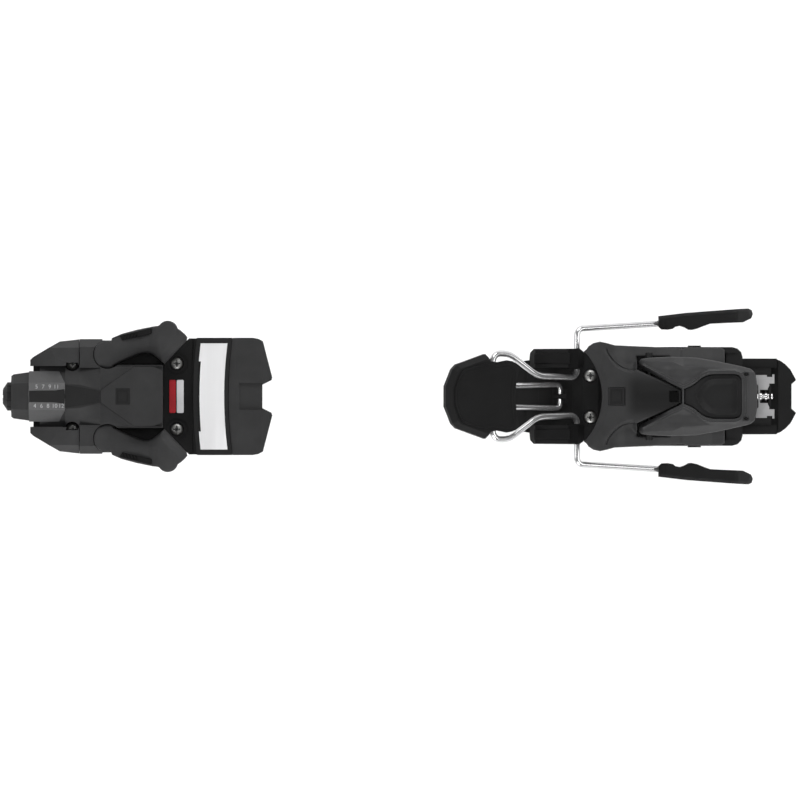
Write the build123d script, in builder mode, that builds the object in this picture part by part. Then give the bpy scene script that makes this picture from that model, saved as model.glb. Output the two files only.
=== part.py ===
from build123d import *
from math import atan, cos, radians, sin
import os

os.makedirs("parts", exist_ok=True)

# An alpine ski binding: a toe piece, a heel piece on its track, and a ski brake. Millimetres.
# The origin is the centre of the toe screws on the ski's top face, +X to the tail, +Z up.
# "right" is +Y and "left" is -Y, as the skier stands, facing -X.

# Toe piece
TOE_SCREW_X = 36.4
TOE_SCREW_Y = 23.0
BASE_TOP = 6.0
DECK_TOP = 10.0
TUBE_Z = 20.0
TUBE_FRONT = -78.9
TUBE_BORE = 11.6
TUBE_TOP = 35.0
HOUSING_REAR = 27.0
WING_X = -11.6
WING_Y = 29.3
WING_HUB = 9.66
WING_GAP = 0.4
WING_LOW = 10.3
PIN_RADIUS = 3.0
RUNNING = 0.05
KNOB = (30.5, 45.8)
KNOB_RADIUS = 7.0

# Sliding plate under the boot's toe: bands of a circle about a far centre
AFD_CENTRE_X = 367.0
AFD_FRONT_RADIUS = 319.4
AFD_REAR_RADIUS = 294.3
AFD_HALF = 41.0
AFD_TOP = 17.0

# Heel piece
HEEL_SCREW_X = 325.7
HEEL_SCREW_PITCH = 78.0
HEEL_SCREW_Y = 14.5
REAR_SCREW_X = HEEL_SCREW_X + HEEL_SCREW_PITCH
TRACK_FRONT = 320.6
TRACK_HALF = 26.5
TRACK_REAR = 466.3
TRACK_FLOOR = 4.0
RAIL_TOP = 9.0
CARRIAGE_FLOOR = 12.0
PIVOT_X = 398.0
PIVOT_Z = 24.0
CHEEK_IN = 30.5
CHEEK_OUT = 34.5
CHEEK_ROUND = 11.5
STAND_HEIGHT = 24.0
LEVER_X = 366.0
LEVER_Z = 50.0
LEVER_PIN = 2.5
LEVER_TIP_X = 388.5
LEVER_TIP_Z = 70.2
LEVER_END_X = 434.0
LEVER_END_Z = 86.8
SPRING_Z = 38.0
HEEL_BORE = 8.6
RACK_PITCH = 3.6

# Brake
WIRE = 2.2
AXLE_X = 316.3
AXLE_Z = 9.0
ARM_DROP = 33.0
PEDAL_RISE = 37.0
PEDAL_ARM = 74.4
PEDAL_TILT = 20.0
ARM_LENGTH = 146.9
LINK_X = 304.5
LINK_Z = 8.0
LINK_LENGTH = 51.7
LINK_RISE = 47.35

# Screws into the ski
SCREW_HEAD = 4.65
SCREW_SHANK = 2.75
SCREW_NECK = 2.4
SCREW_BELOW = 9.0
CROSS_LENGTH = 5.2
CROSS_WIDTH = 1.2


def both_sides(points):
    """A half outline on the +Y side, closed by its mirror image."""
    return [*points, *[(x, -y) for x, y in reversed(points) if y > 0]]


def plan(points, low, high, mode=Mode.ADD):
    """A prism over a plan outline, between two heights."""
    with BuildSketch(Plane.XY.offset(low)) as flat:
        Polygon(*points, align=None)
    extrude(flat.sketch, amount=high - low, mode=mode)


def profile(points, near, far, mode=Mode.INTERSECT):
    """A prism over a side outline of (x, z) points, between two values of y."""
    with BuildSketch(Plane.XZ.offset(-far)) as side_view:
        Polygon(*points, align=None)
    extrude(side_view.sketch, amount=far - near, mode=mode)


def section(points, front, rear, mode=Mode.INTERSECT):
    """A prism over a cross-section of (y, z) points, between two values of x."""
    with BuildSketch(Plane.YZ.offset(front)) as end_view:
        Polygon(*points, align=None)
    extrude(end_view.sketch, amount=rear - front, mode=mode)


def block(x0, x1, y0, y1, z0, z1, mode=Mode.ADD):
    """A box between two corners."""
    with Locations(((x0 + x1) / 2, (y0 + y1) / 2, (z0 + z1) / 2)):
        Box(x1 - x0, y1 - y0, z1 - z0, mode=mode)


def side_blocks(x0, x1, y0, y1, z0, z1, mode=Mode.ADD):
    """The same box on both sides."""
    for low, high in ((y0, y1), (-y1, -y0)):
        block(x0, x1, low, high, z0, z1, mode)


def upright(x, y, radius, low, high, mode=Mode.ADD):
    """A vertical cylinder."""
    with Locations((x, y, (low + high) / 2)):
        Cylinder(radius, high - low, mode=mode)


def lengthwise(y, z, radius, front, rear, mode=Mode.ADD):
    """A cylinder along x."""
    with Locations(((front + rear) / 2, y, z)):
        Cylinder(radius, rear - front, rotation=(0, 90, 0), mode=mode)


def crosswise(x, z, radius, near, far, mode=Mode.ADD):
    """A cylinder along y."""
    with Locations((x, (near + far) / 2, z)):
        Cylinder(radius, far - near, rotation=(90, 0, 0), mode=mode)


def skin(stations):
    """Ruled faces through closed cross-sections, each an x and a half outline of (y, z) points."""
    slices = []
    for x, half in stations:
        with BuildSketch(Plane.YZ.offset(x)) as slice_at:
            Polygon(*half, *[(-y, z) for y, z in reversed(half) if y > 0], align=None)
        slices.append(slice_at.sketch)
    loft(slices, ruled=True)


def wood_screw(x, y, seat):
    """A cross-recess screw: domed head on its seat, shank through the base into the ski."""
    dome = 3.2
    upright(x, y, SCREW_SHANK, -SCREW_BELOW, 0)
    upright(x, y, SCREW_NECK, 0, seat)
    with BuildSketch(Plane.XZ.offset(-y)) as half_head:
        with BuildLine():
            Line((x, seat), (x + SCREW_HEAD, seat))
            Line((x + SCREW_HEAD, seat), (x + SCREW_HEAD, seat + dome * 0.5))
            ThreePointArc(
                (x + SCREW_HEAD, seat + dome * 0.5),
                (x + SCREW_HEAD * 0.7, seat + dome * 0.86),
                (x, seat + dome),
            )
            Line((x, seat + dome), (x, seat))
        make_face()
    revolve(half_head.sketch, axis=Axis((x, y, 0), (0, 0, 1)))
    for turn in (0, 45):
        size = (CROSS_LENGTH, CROSS_WIDTH) if turn == 0 else (3.4, 0.7)
        for quarter in (turn, turn + 90):
            with Locations((x, y, seat + dome)):
                Box(*size, 4, rotation=(0, 0, quarter), mode=Mode.SUBTRACT)


def coil(front, rear, z, radius, wire, turns):
    """A compression spring along x, with its wire's ends cut square."""
    span = rear - front - 2 * wire
    with BuildLine() as spiral:
        Helix(span / turns, span, radius, center=(front + wire, 0, z), direction=(1, 0, 0))
    start = spiral.line @ 0
    with BuildSketch(Plane(origin=start, z_dir=spiral.line % 0)) as wire_end:
        Circle(wire)
    sweep(wire_end.sketch, path=spiral.line, is_frenet=True)


def rod_along(points, bends, radius=WIRE):
    """Round wire along straight runs with rounded bends."""
    with BuildLine() as route:
        FilletPolyline(*points, radius=bends)
    with BuildSketch(Plane(origin=route.line @ 0, z_dir=route.line % 0)) as wire_end:
        Circle(radius)
    sweep(wire_end.sketch, path=route.line)


def keep(part, name):
    """Labels a finished piece and writes its file."""
    part.part.label = name
    export_step(part.part, f"parts/{name}.step")


# ---------------------------------------------------------------- toe base
base_half = [
    (-64, 0), (-64, 24.4), (-44.6, 37), (-20, 39.2), (-2, 39.2), (20, 34), (38, 34.5),
    (45, 40.6), (77, 40.6), (79, 37), (91, 37), (91, 0),
]
deck_half = [(HOUSING_REAR + 0.4, 0), (HOUSING_REAR + 0.4, 31), (38, 34), (45, 40.6), (54, 40.6), (54, 0)]


def afd_disc(radius, mode=Mode.ADD):
    """A full disc about the plate's far centre, in the sketch being built."""
    with Locations((AFD_CENTRE_X, 0)):
        Circle(radius, mode=mode)


def afd_band(outer, inner, half, low, high, mode=Mode.ADD):
    """A curved band between two radii about the plate's far centre, cut to a width."""
    with BuildSketch(Plane.XY.offset(low)) as band:
        afd_disc(outer)
        afd_disc(inner, Mode.SUBTRACT)
        with Locations((60, 0)):
            Rectangle(80, 2 * half, mode=Mode.INTERSECT)
    extrude(band.sketch, amount=high - low, mode=mode)


with BuildPart() as toe_base:
    plan(both_sides(base_half), 0, BASE_TOP)
    plan(both_sides(deck_half), BASE_TOP, DECK_TOP)
    afd_band(AFD_FRONT_RADIUS, 200, 60, BASE_TOP, DECK_TOP + 1, Mode.SUBTRACT)
    afd_band(AFD_FRONT_RADIUS + 1.8, 200, 60, BASE_TOP, BASE_TOP + 2.6, Mode.SUBTRACT)
    block(47, 92, -45, 45, BASE_TOP, DECK_TOP + 1, Mode.SUBTRACT)
    for side in (1, -1):
        upright(WING_X, side * WING_Y, 6.5, BASE_TOP, WING_LOW - 0.3)
        upright(-TOE_SCREW_X, side * TOE_SCREW_Y, 7.0, BASE_TOP, BASE_TOP + 1.0)
        upright(WING_X, side * WING_Y, PIN_RADIUS, -1, DECK_TOP, Mode.SUBTRACT)
        upright(WING_X, side * WING_Y, 5.1, -1, 2.2, Mode.SUBTRACT)
        upright(TOE_SCREW_X, side * TOE_SCREW_Y, 8.0, DECK_TOP - 1.4, DECK_TOP + 1, Mode.SUBTRACT)
        for x in (-TOE_SCREW_X, TOE_SCREW_X):
            upright(x, side * TOE_SCREW_Y, SCREW_HEAD + 0.3, 5.0, DECK_TOP + 1, Mode.SUBTRACT)
            upright(x, side * TOE_SCREW_Y, SCREW_SHANK + 0.1, -1, DECK_TOP, Mode.SUBTRACT)
keep(toe_base, "toe_base")

with BuildPart() as toe_screws:
    for x in (-TOE_SCREW_X, TOE_SCREW_X):
        for y in (-TOE_SCREW_Y, TOE_SCREW_Y):
            wood_screw(x, y, 5.0)
keep(toe_screws, "toe_screws")

# Rear block behind the sliding plate, with a ramp down to the ski and a notched rear edge.
rear_block_half = [
    (72, 0), (72, AFD_HALF), (89.5, AFD_HALF), (93.5, 40.3), (96.6, 38.6), (103.1, 13.4),
    (102.6, 11.4), (96.2, 8.2), (96.2, 0),
]
with BuildPart() as toe_rear_block:
    plan(both_sides(rear_block_half), 0, 15.5)
    with BuildSketch(Plane.XY.offset(-1)):
        afd_disc(AFD_REAR_RADIUS)
    extrude(amount=20, mode=Mode.INTERSECT)
    profile([(70, -1), (104, -1), (104, 6), (96, 12.2), (78, 15.2), (70, 15.2)], -50, 50)
    chamfer(toe_rear_block.edges().filter_by(Plane.XY).group_by(Axis.Y)[-1], 0.8)
    chamfer(toe_rear_block.edges().filter_by(Plane.XY).group_by(Axis.Y)[0], 0.8)
    profile([(80, 12.8), (97, 9.8), (97, 17), (80, 17)], -9.5, 9.5, Mode.SUBTRACT)
    plan([(70, -40.7), (77.2, -40.7), (79.2, -37.2), (91.2, -37.2), (91.2, 37.2), (79.2, 37.2),
          (77.2, 40.7), (70, 40.7)], -1, BASE_TOP + 0.1, Mode.SUBTRACT)
    afd_band(320, AFD_REAR_RADIUS - 1.8, 60, 0, BASE_TOP + 2.6, Mode.SUBTRACT)
keep(toe_rear_block, "toe_rear_block")

# Sliding plate: a carrier that rides between two arcs, its flanges under the lips.
slide_gap = 0.35
with BuildPart() as afd_carrier:
    afd_band(AFD_FRONT_RADIUS - slide_gap, AFD_REAR_RADIUS + slide_gap, AFD_HALF, 6.3, AFD_TOP)
    afd_band(AFD_FRONT_RADIUS + 1.3, AFD_REAR_RADIUS - 1.3, AFD_HALF - 0.8, 6.3, BASE_TOP + 2.2)
    afd_band(316.2, 297.2, 37.3, AFD_TOP - 1.4, AFD_TOP + 1, Mode.SUBTRACT)
    for side in (1, -1):
        block(56, 67, side * 20 - 8, side * 20 + 8, 6, 10, Mode.SUBTRACT)
keep(afd_carrier, "afd_carrier")

with BuildPart() as afd_plate:
    afd_band(316.0, 297.4, 37.1, AFD_TOP - 1.4, AFD_TOP + 0.2)
    afd_band(320.0, 314.6, 24.5, AFD_TOP - 2, AFD_TOP + 1, Mode.SUBTRACT)
keep(afd_plate, "afd_plate")

# ---------------------------------------------------------------- toe housing
with BuildPart() as toe_housing:
    skin([
        (TUBE_FRONT, [(0, 6.1), (11, 6.1), (14.3, 9), (14.3, 24.6), (8.6, 32.6), (0, 32.6)]),
        (TUBE_FRONT + 1.6, [(0, 6.1), (12, 6.1), (15.4, 9), (15.4, 25), (9.0, 33.4), (0, 33.4)]),
        (-66, [(0, 6.1), (13, 6.1), (17, 9), (17, 26), (9.4, TUBE_TOP), (0, TUBE_TOP)]),
        (-41.2, [(0, 6.1), (15, 6.1), (17, 9), (17, 26), (9.4, TUBE_TOP), (0, TUBE_TOP)]),
    ])
    skin([
        (-41.2, [(0, 6.1), (21, 6.1), (21, 24), (17, 28), (8.4, TUBE_TOP), (0, TUBE_TOP)]),
        (-31.5, [(0, 6.1), (22, 6.1), (22, 27), (16, 31), (8.4, 35.5), (0, 35.5)]),
        (-16.5, [(0, 6.1), (22, 6.1), (22, 30), (16, 34), (4.3, 36.2), (0, 36.2)]),
        (7, [(0, 6.1), (22, 6.1), (22, 36), (21.6, 45), (20.6, 47.5), (0, 47.5)]),
        (HOUSING_REAR, [(0, 6.1), (22, 6.1), (22, 38), (21.6, 47), (20.6, 50), (0, 50)]),
    ])
    for side in (1, -1):
        bridge = [(20, 6.1), (39.9, 6.1), (40.1, 20), (34.6, 29.8), (22, 32), (20, 32)]
        section([(side * y, z) for y, z in bridge], -31.2, -12, Mode.ADD)
        skirt = [(15, 6.1), (20.9, 6.1), (20.9, 22), (17.2, 25.5), (15, 25.5)]
        section([(side * y, z) for y, z in skirt], -59, -41, Mode.ADD)
    plan(both_sides([(-16.5, 4.4), (7.0, 20.9), (28, 20.9)]), 34, 60, Mode.SUBTRACT)
    profile([(-16.6, 34.4), (7, 45.4), (HOUSING_REAR, 47.9), (HOUSING_REAR, 20), (-16.6, 20)],
            -20.6, 20.6, Mode.ADD)
    for side in (1, -1):
        upright(WING_X, side * WING_Y, WING_HUB + WING_GAP, 0, 60, Mode.SUBTRACT)
        upright(-TOE_SCREW_X, side * TOE_SCREW_Y, 5.4, 0, 60, Mode.SUBTRACT)
        upright(-TOE_SCREW_X, side * TOE_SCREW_Y, 7.2, 0, BASE_TOP + 1.2, Mode.SUBTRACT)
        block(-41.8, -31.0, side * 27 - 4, side * 27 + 4, 0, 60, Mode.SUBTRACT)
        block(-15.6, -11.0, side * 40 - 1.3, side * 40 + 1.3, 0, 60, Mode.SUBTRACT)
    lengthwise(0, TUBE_Z, TUBE_BORE, TUBE_FRONT - 1, -28, Mode.SUBTRACT)
    lengthwise(0, TUBE_Z, 12.2, TUBE_FRONT - 1, TUBE_FRONT + 5, Mode.SUBTRACT)
    block(-63.5, -47.0, -6.3, 6.3, TUBE_Z + 8, 60, Mode.SUBTRACT)
    block(-28.5, -5, -18, 18, 12, 28, Mode.SUBTRACT)
    block(HOUSING_REAR - 7, HOUSING_REAR + 1, -16, 16, 12, 34, Mode.SUBTRACT)
keep(toe_housing, "toe_housing")

# Hexagonal top cover, rising to the rear, with a shallow square badge seat.
cover_plan = both_sides([(-16.3, 4.2), (7.0, 20.6), (HOUSING_REAR - 6, 20.6), (HOUSING_REAR, 18.0)])
COVER_SLOPE = 11.0 / 23.3
BADGE_X = -0.7


def cover_height(x):
    """Height of the cover's sloping front face."""
    return 36.9 + (x + 16.3) * COVER_SLOPE


with BuildPart() as toe_cover:
    plan(cover_plan, 30, 60)
    profile([(-16.3, 34.7), (-16.3, 36.9), (7, 47.9), (HOUSING_REAR, 50.4), (HOUSING_REAR, 48.1),
             (7, 45.6)], -30, 30)
    badge_centre = (BADGE_X, 0, cover_height(BADGE_X))
    slope = Plane(origin=badge_centre, x_dir=(1, 0, COVER_SLOPE), z_dir=(-COVER_SLOPE, 0, 1))
    with BuildSketch(slope.offset(-0.8)):
        Rectangle(11.4, 11.6)
    extrude(amount=3, mode=Mode.SUBTRACT)
keep(toe_cover, "toe_cover")

with BuildPart() as toe_badge:
    with BuildSketch(slope.offset(-0.8)):
        RectangleRounded(11.2, 11.4, 0.6)
    extrude(amount=0.9)
    with BuildSketch(slope.offset(-0.2)):
        Rectangle(9.0, 9.2)
        Rectangle(6.2, 6.4, mode=Mode.SUBTRACT)
    extrude(amount=1, mode=Mode.SUBTRACT)
keep(toe_badge, "toe_badge")

# Smoked window over the tube's top and shoulders.
window_plan = both_sides([(-66.5, 17.6), (-45.5, 17.6), (-41.3, 9.4)])
window_fit = TUBE_TOP + 0.05
with BuildPart() as toe_window:
    plan(window_plan, 25, 37)
    section([(-17.6, 26.8), (-9.5, TUBE_TOP + 1.0), (9.5, TUBE_TOP + 1.0), (17.6, 26.8), (17.6, 26.0),
             (9.45, window_fit), (-9.45, window_fit), (-17.6, 26.0)], -70, -40)
keep(toe_window, "toe_window")

with BuildPart() as toe_ridge_cap:
    plan([(-40.9, 8.0), (-17.0, 4.2), (-17.0, -4.2), (-40.9, -8.0)], TUBE_TOP - 1, 40)
    profile([(-41, TUBE_TOP + 0.1), (-31.5, 35.7), (-16.5, 36.4), (-16.5, 37.1), (-31.5, 36.6),
             (-41, TUBE_TOP + 1)], -10, 10)
keep(toe_ridge_cap, "toe_ridge_cap")

# Front fairings, one each side of the spring tube.
fairing_plan = [
    (-65.8, 21.2), (-65.8, 25.5), (-63.6, 27.6), (-45.2, 38.4), (-31.6, 39.9), (-31.6, 22.3), (-43.8, 21.2),
]
with BuildPart() as front_fairing_right:
    plan(fairing_plan, BASE_TOP + 0.1, 30)
    profile([(-67, 5), (-31, 5), (-31, 30), (-48, 29), (-62, 24), (-67, 20)], 20, 41)
    section([(20, 5), (40.2, 5), (40.2, 16), (34.0, 27.5), (21.2, 30), (20, 30)], -68, -31)
    upright(-TOE_SCREW_X, TOE_SCREW_Y, 7.3, 0, BASE_TOP + 1.2, Mode.SUBTRACT)
    upright(-TOE_SCREW_X, TOE_SCREW_Y, 5.4, 0, 14, Mode.SUBTRACT)
    block(-40.6, -32.2, 21, 23.6, 0, 60, Mode.SUBTRACT)
keep(front_fairing_right, "front_fairing_right")

with BuildPart() as front_fairing_left:
    mirror(front_fairing_right.part, about=Plane.XZ)
keep(front_fairing_left, "front_fairing_left")

# Release spring in the tube: adjusting screw, indicator nut, coil, piston and its tie rod.
with BuildPart() as toe_release_screw:
    lengthwise(0, TUBE_Z, 11.4, TUBE_FRONT - 0.2, TUBE_FRONT + 4.0)
    lengthwise(0, TUBE_Z, 9.9, TUBE_FRONT - 2.8, TUBE_FRONT - 0.2)
    with BuildSketch(Plane.YZ.offset(TUBE_FRONT - 2.8)) as dome_foot:
        with Locations((0, TUBE_Z)):
            Circle(9.9)
    with BuildSketch(Plane.YZ.offset(TUBE_FRONT - 6.0)) as dome_face:
        with Locations((0, TUBE_Z)):
            Circle(5.2)
    loft([dome_face.sketch, dome_foot.sketch])
    for turn in range(0, 360, 30):
        swing = radians(turn + 15)
        notch = (10.4 * sin(swing), TUBE_Z + 10.4 * cos(swing))
        lengthwise(*notch, 1.1, TUBE_FRONT - 3.4, TUBE_FRONT - 0.4, Mode.SUBTRACT)
    block(TUBE_FRONT - 8, TUBE_FRONT - 3.6, -5.5, 5.5, TUBE_Z - 1.0, TUBE_Z + 1.0, Mode.SUBTRACT)
    block(TUBE_FRONT - 8, TUBE_FRONT - 3.6, -1.0, 1.0, TUBE_Z - 5.5, TUBE_Z + 5.5, Mode.SUBTRACT)
    lengthwise(0, TUBE_Z, 4.0, TUBE_FRONT + 4.0, -46.5)
keep(toe_release_screw, "toe_release_screw")

with BuildPart() as toe_indicator:
    lengthwise(0, TUBE_Z, 11.2, -58, -54)
    block(-57.5, -54.5, -6.0, 6.0, TUBE_Z, TUBE_TOP - 0.4)
    lengthwise(0, TUBE_Z, 4.0 + RUNNING, -59, -53, Mode.SUBTRACT)
keep(toe_indicator, "toe_indicator")

with BuildPart() as toe_spring:
    coil(-46.2, -33.4, TUBE_Z, 8.6, 1.5, 3)
keep(toe_spring, "toe_spring")

with BuildPart() as toe_piston:
    lengthwise(0, TUBE_Z, 11.2, -33, -29.5)
    lengthwise(0, TUBE_Z, 6.6, -40, -33)
    lengthwise(0, TUBE_Z, 4.5, -30, -12)
    block(-14, -8.5, -17.5, 17.5, TUBE_Z - 6, TUBE_Z + 6)
keep(toe_piston, "toe_piston")

# Wings: each turns outward on an upright pin, its jaw standing up behind the boot's toe lug.
wing_start = radians(75)
wing_plan = [
    (WING_X + 9 * cos(wing_start), WING_Y + 9 * sin(wing_start)), (-8.4, 41.0), (-1.4, 43.8), (9.1, 46.6),
    (19.6, 48.7), (25.0, 50.0), (36.6, 48.9), (40.6, 45.8), (44.0, 41.2), (43.4, 38.8), (28.9, 23.6),
    (28.0, 22.9), (23.1, 26.9), (17.5, 30.4), (10.5, 29.7), (-2.8, 24.1), (-8.0, 21.0),
]
wing_side = [
    (-22, WING_LOW), (-1, WING_LOW), (2, 12.5), (24, 12.5), (27, 19), (52, 19), (52, 45), (43, 45.6),
    (24, 43.6), (17.5, 37.5), (-4, 33.6), (-22, 32.8),
]
grip_plan = [(-3.2, 42.1), (19.0, 47.6), (19.4, 44.0), (-1.2, 39.0)]

with BuildPart() as wing_right:
    plan(wing_plan, WING_LOW, 50)
    upright(WING_X, WING_Y, WING_HUB, WING_LOW, 50)
    upright(*KNOB, KNOB_RADIUS, WING_LOW, 50)
    profile(wing_side, 10, 60)
    upright(WING_X, WING_Y, PIN_RADIUS + RUNNING, 0, 28.3, Mode.SUBTRACT)
    with BuildSketch(Plane.XY.offset(30)) as seat:
        Polygon(*grip_plan, align=None)
        offset(amount=0.2)
    extrude(seat.sketch, amount=30, mode=Mode.SUBTRACT)
    with BuildSketch(Plane.XY.offset(20)) as seat_floor:
        Polygon(*grip_plan, align=None)
        offset(amount=0.3)
    extrude(seat_floor.sketch, amount=12.4)
keep(wing_right, "wing_right")

with BuildPart() as wing_grip_right:
    plan(grip_plan, 32.5, 50)
    profile([(-6, 32.5), (22, 32.5), (22, 38.9), (-6, 33.8)], 30, 60)
    with BuildSketch(Plane.XY.offset(34)) as grooves:
        for step in range(9):
            along = (step + 0.8) / 9.6
            with Locations((-2.2 + 22.2 * along, 40.6 + 5.3 * along)):
                Rectangle(0.8, 8, rotation=-20)
    extrude(grooves.sketch, amount=2.6, mode=Mode.SUBTRACT)
keep(wing_grip_right, "wing_grip_right")

with BuildPart() as wing_pin_right:
    upright(WING_X, WING_Y, PIN_RADIUS, 1, 28)
    upright(WING_X, WING_Y, 5.0, 0.2, 2.2)
keep(wing_pin_right, "wing_pin_right")

for right, name in (
    (wing_right, "wing_left"), (wing_grip_right, "wing_grip_left"), (wing_pin_right, "wing_pin_left"),
):
    with BuildPart() as left_piece:
        mirror(right.part, about=Plane.XZ)
    keep(left_piece, name)

with BuildPart() as toe_label:
    with BuildSketch(Plane.XY.offset(DECK_TOP)):
        with Locations((36.4, 0)):
            RectangleRounded(11.6, 26, 1.2)
    extrude(amount=0.3)
    block(31.2, 35.6, -11.5, 11.5, DECK_TOP + 0.3, DECK_TOP + 0.5)
    block(36.2, 41.4, -11.5, 11.5, DECK_TOP + 0.3, DECK_TOP + 0.5)
keep(toe_label, "toe_label")

# ---------------------------------------------------------------- heel track and screws
track_nose = [(TRACK_FRONT, 0), (TRACK_FRONT, 31.0), (323, 33.0)]
track_tail = [(458.5, 25.0), (462, 22.5), (465.6, 18.8), (469.5, 11.5), (TRACK_REAR, 8.5), (TRACK_REAR, 0)]
track_half = [*track_nose, (338, 33.0), (345, TRACK_HALF), (455, TRACK_HALF), *track_tail]
with BuildPart() as heel_track:
    plan(both_sides(track_half), 0, TRACK_FLOOR)
    plan(both_sides([*track_nose, (331.2, 33.0), (331.2, 0)]), TRACK_FLOOR, 8.0)
    side_blocks(340, 456, 23.2, TRACK_HALF, TRACK_FLOOR, RAIL_TOP)
    side_blocks(340, 456, 20.0, 23.5, 7.0, RAIL_TOP)
    plan(both_sides([(457, 0), (457, 25.6), *track_tail]), TRACK_FLOOR, 9.4)
    for y in (-HEEL_SCREW_Y, HEEL_SCREW_Y):
        upright(HEEL_SCREW_X, y, SCREW_HEAD + 0.3, 5.0, 12, Mode.SUBTRACT)
        for x in (HEEL_SCREW_X, REAR_SCREW_X):
            upright(x, y, SCREW_SHANK + 0.1, -1, 9, Mode.SUBTRACT)
        upright(REAR_SCREW_X, y, SCREW_HEAD + 0.3, 1.2, 9, Mode.SUBTRACT)
    for tooth in range(22):
        gap = 372 + tooth * RACK_PITCH
        block(gap, gap + 1.6, -5, 5, 2.4, 5, Mode.SUBTRACT)
keep(heel_track, "heel_track")

with BuildPart() as heel_screws_front:
    for y in (-HEEL_SCREW_Y, HEEL_SCREW_Y):
        wood_screw(HEEL_SCREW_X, y, 5.0)
keep(heel_screws_front, "heel_screws_front")

with BuildPart() as heel_screws_rear:
    for y in (-HEEL_SCREW_Y, HEEL_SCREW_Y):
        upright(REAR_SCREW_X, y, SCREW_SHANK, -SCREW_BELOW, 0)
        upright(REAR_SCREW_X, y, SCREW_NECK, 0, 2)
        upright(REAR_SCREW_X, y, SCREW_HEAD, 1.2, 3.8)
        for quarter in (0, 90):
            with Locations((REAR_SCREW_X, y, 4)):
                Box(CROSS_LENGTH, CROSS_WIDTH, 3, rotation=(0, 0, quarter), mode=Mode.SUBTRACT)
keep(heel_screws_rear, "heel_screws_rear")

# ---------------------------------------------------------------- heel carriage
carriage_rear = [(424.5, CHEEK_OUT), (428.4, 33.4), (430.9, 30.9), (431.9, 27.4), (431.9, 0)]
cheek_top = [
    (361, 9.4), (361, 20), (382, 32), (PIVOT_X - 5, PIVOT_Z + CHEEK_ROUND),
    (PIVOT_X + 5, PIVOT_Z + CHEEK_ROUND - 1.5), (PIVOT_X + 11, PIVOT_Z + 2), (414, 20), (428, 18.5),
    (431.9, 14), (431.9, 9.4),
]
with BuildPart() as heel_carriage:
    block(344.5, 452, -22.8, 22.8, 4.3, 6.7)
    block(344.5, 452, -19.6, 19.6, 6.7, 10)
    plan(both_sides([(338, 0), (338, 22), (341, 30), (347, CHEEK_OUT), *carriage_rear]), 9.4, CARRIAGE_FLOOR)
    plan(both_sides([(431, 0), (431, 19), (452, 17), (452, 0)]), 9.4, 12.2)
    for low, high in ((CHEEK_IN, CHEEK_OUT), (-CHEEK_OUT, -CHEEK_IN)):
        profile(cheek_top, low, high, Mode.ADD)
    plan(both_sides([(420.4, 0), (420.4, CHEEK_OUT), *carriage_rear]), 11, 17.6)
    for side in (1, -1):
        corner = [*carriage_rear[:-1], (433, 27.4), (433, 36), (424.5, 36)]
        plan([(x, side * y) for x, y in corner], 9, 40, Mode.SUBTRACT)
    crosswise(PIVOT_X, PIVOT_Z, 3.0, -40, 40, Mode.SUBTRACT)
    block(434, 450.5, -4.6, 4.6, 3, 20, Mode.SUBTRACT)
    lengthwise(0, 8.0, 2.55, 425, 436, Mode.SUBTRACT)
    lengthwise(0, 8.0, 2.55, 449, 454, Mode.SUBTRACT)
    for y in (-HEEL_SCREW_Y, HEEL_SCREW_Y):
        upright(REAR_SCREW_X, y, 5.2, 0, 14, Mode.SUBTRACT)
keep(heel_carriage, "heel_carriage")

with BuildPart() as housing_pivot_pin:
    crosswise(PIVOT_X, PIVOT_Z, 3.0, -CHEEK_OUT - 0.4, CHEEK_OUT + 0.4)
    for low, high in ((CHEEK_OUT, CHEEK_OUT + 1.0), (-CHEEK_OUT - 1.0, -CHEEK_OUT)):
        crosswise(PIVOT_X, PIVOT_Z, 4.6, low, high)
keep(housing_pivot_pin, "housing_pivot_pin")

with BuildPart() as forward_pressure_plate:
    plate_half = [
        (443.0, 0), (443.0, 7.5), (441.4, 9.5), (441.4, 15.0), (449.0, 15.0), (449.0, 13.6), (453.0, 13.6),
        (453.0, 15.4), (454.2, 15.4), (454.2, 9.0), (450.6, 9.0), (450.6, 7.2), (449.6, 5.6), (449.6, 0),
    ]
    plan(both_sides(plate_half), 12.2, 13.8)
    side_blocks(452.8, 454.2, 9.0, 15.4, 12.2, 15.4)
    block(444.2, 455, -4.6, 4.6, 10, 15, Mode.SUBTRACT)
keep(forward_pressure_plate, "forward_pressure_plate")

# Worm that meshes with the slots in the track floor.
with BuildPart() as forward_pressure_screw:
    lengthwise(0, 8.0, 2.5, 430, 453)
    for turn in range(4):
        thread = 437.05 + turn * RACK_PITCH
        lengthwise(0, 8.0, 3.9, thread, thread + 1.1)
    block(452, 454, -2.2, 2.2, 7.4, 8.6, Mode.SUBTRACT)
keep(forward_pressure_screw, "forward_pressure_screw")

# ---------------------------------------------------------------- heel housing
lip_radius = 46.3
boot_radius = 34.3
housing_half = [
    (321.3, 0), (321.3, 31), (324.0, 35.4), (327.6, 37.7), (331.8, 38.3), (337, 37), (342, 35.6), (357, 35.4),
    (368, 34.7), (390, 34), (407, 34.6), (416.6, 34.2), (418.8, 33.0), (418.8, 0),
]
housing_side = [
    (321, 47.5), (321, 52.5), (333.2, 54.5), (349, 54.0), (372, 48.6), (410, 47.6), (418.8, 45.0),
    (418.8, 34), (409.3, 24), (406, 16), (398, 12.8), (343, 12.8), (337, 15), (337, STAND_HEIGHT),
    (329, STAND_HEIGHT), (323, 33),
]
over_cheek = [
    (360.5, 5), (360.5, 20.6), (381.8, 32.7), (392.6, 36.4), (398, 37.7), (403, 36.4), (406.6, 34.2),
    (421, 37.0), (421, 5),
]
hump_half = [(335, 0), (335, 9), (346, 20.5), (358, 18.4), (387.6, 4.4), (387.6, 0)]
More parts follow.
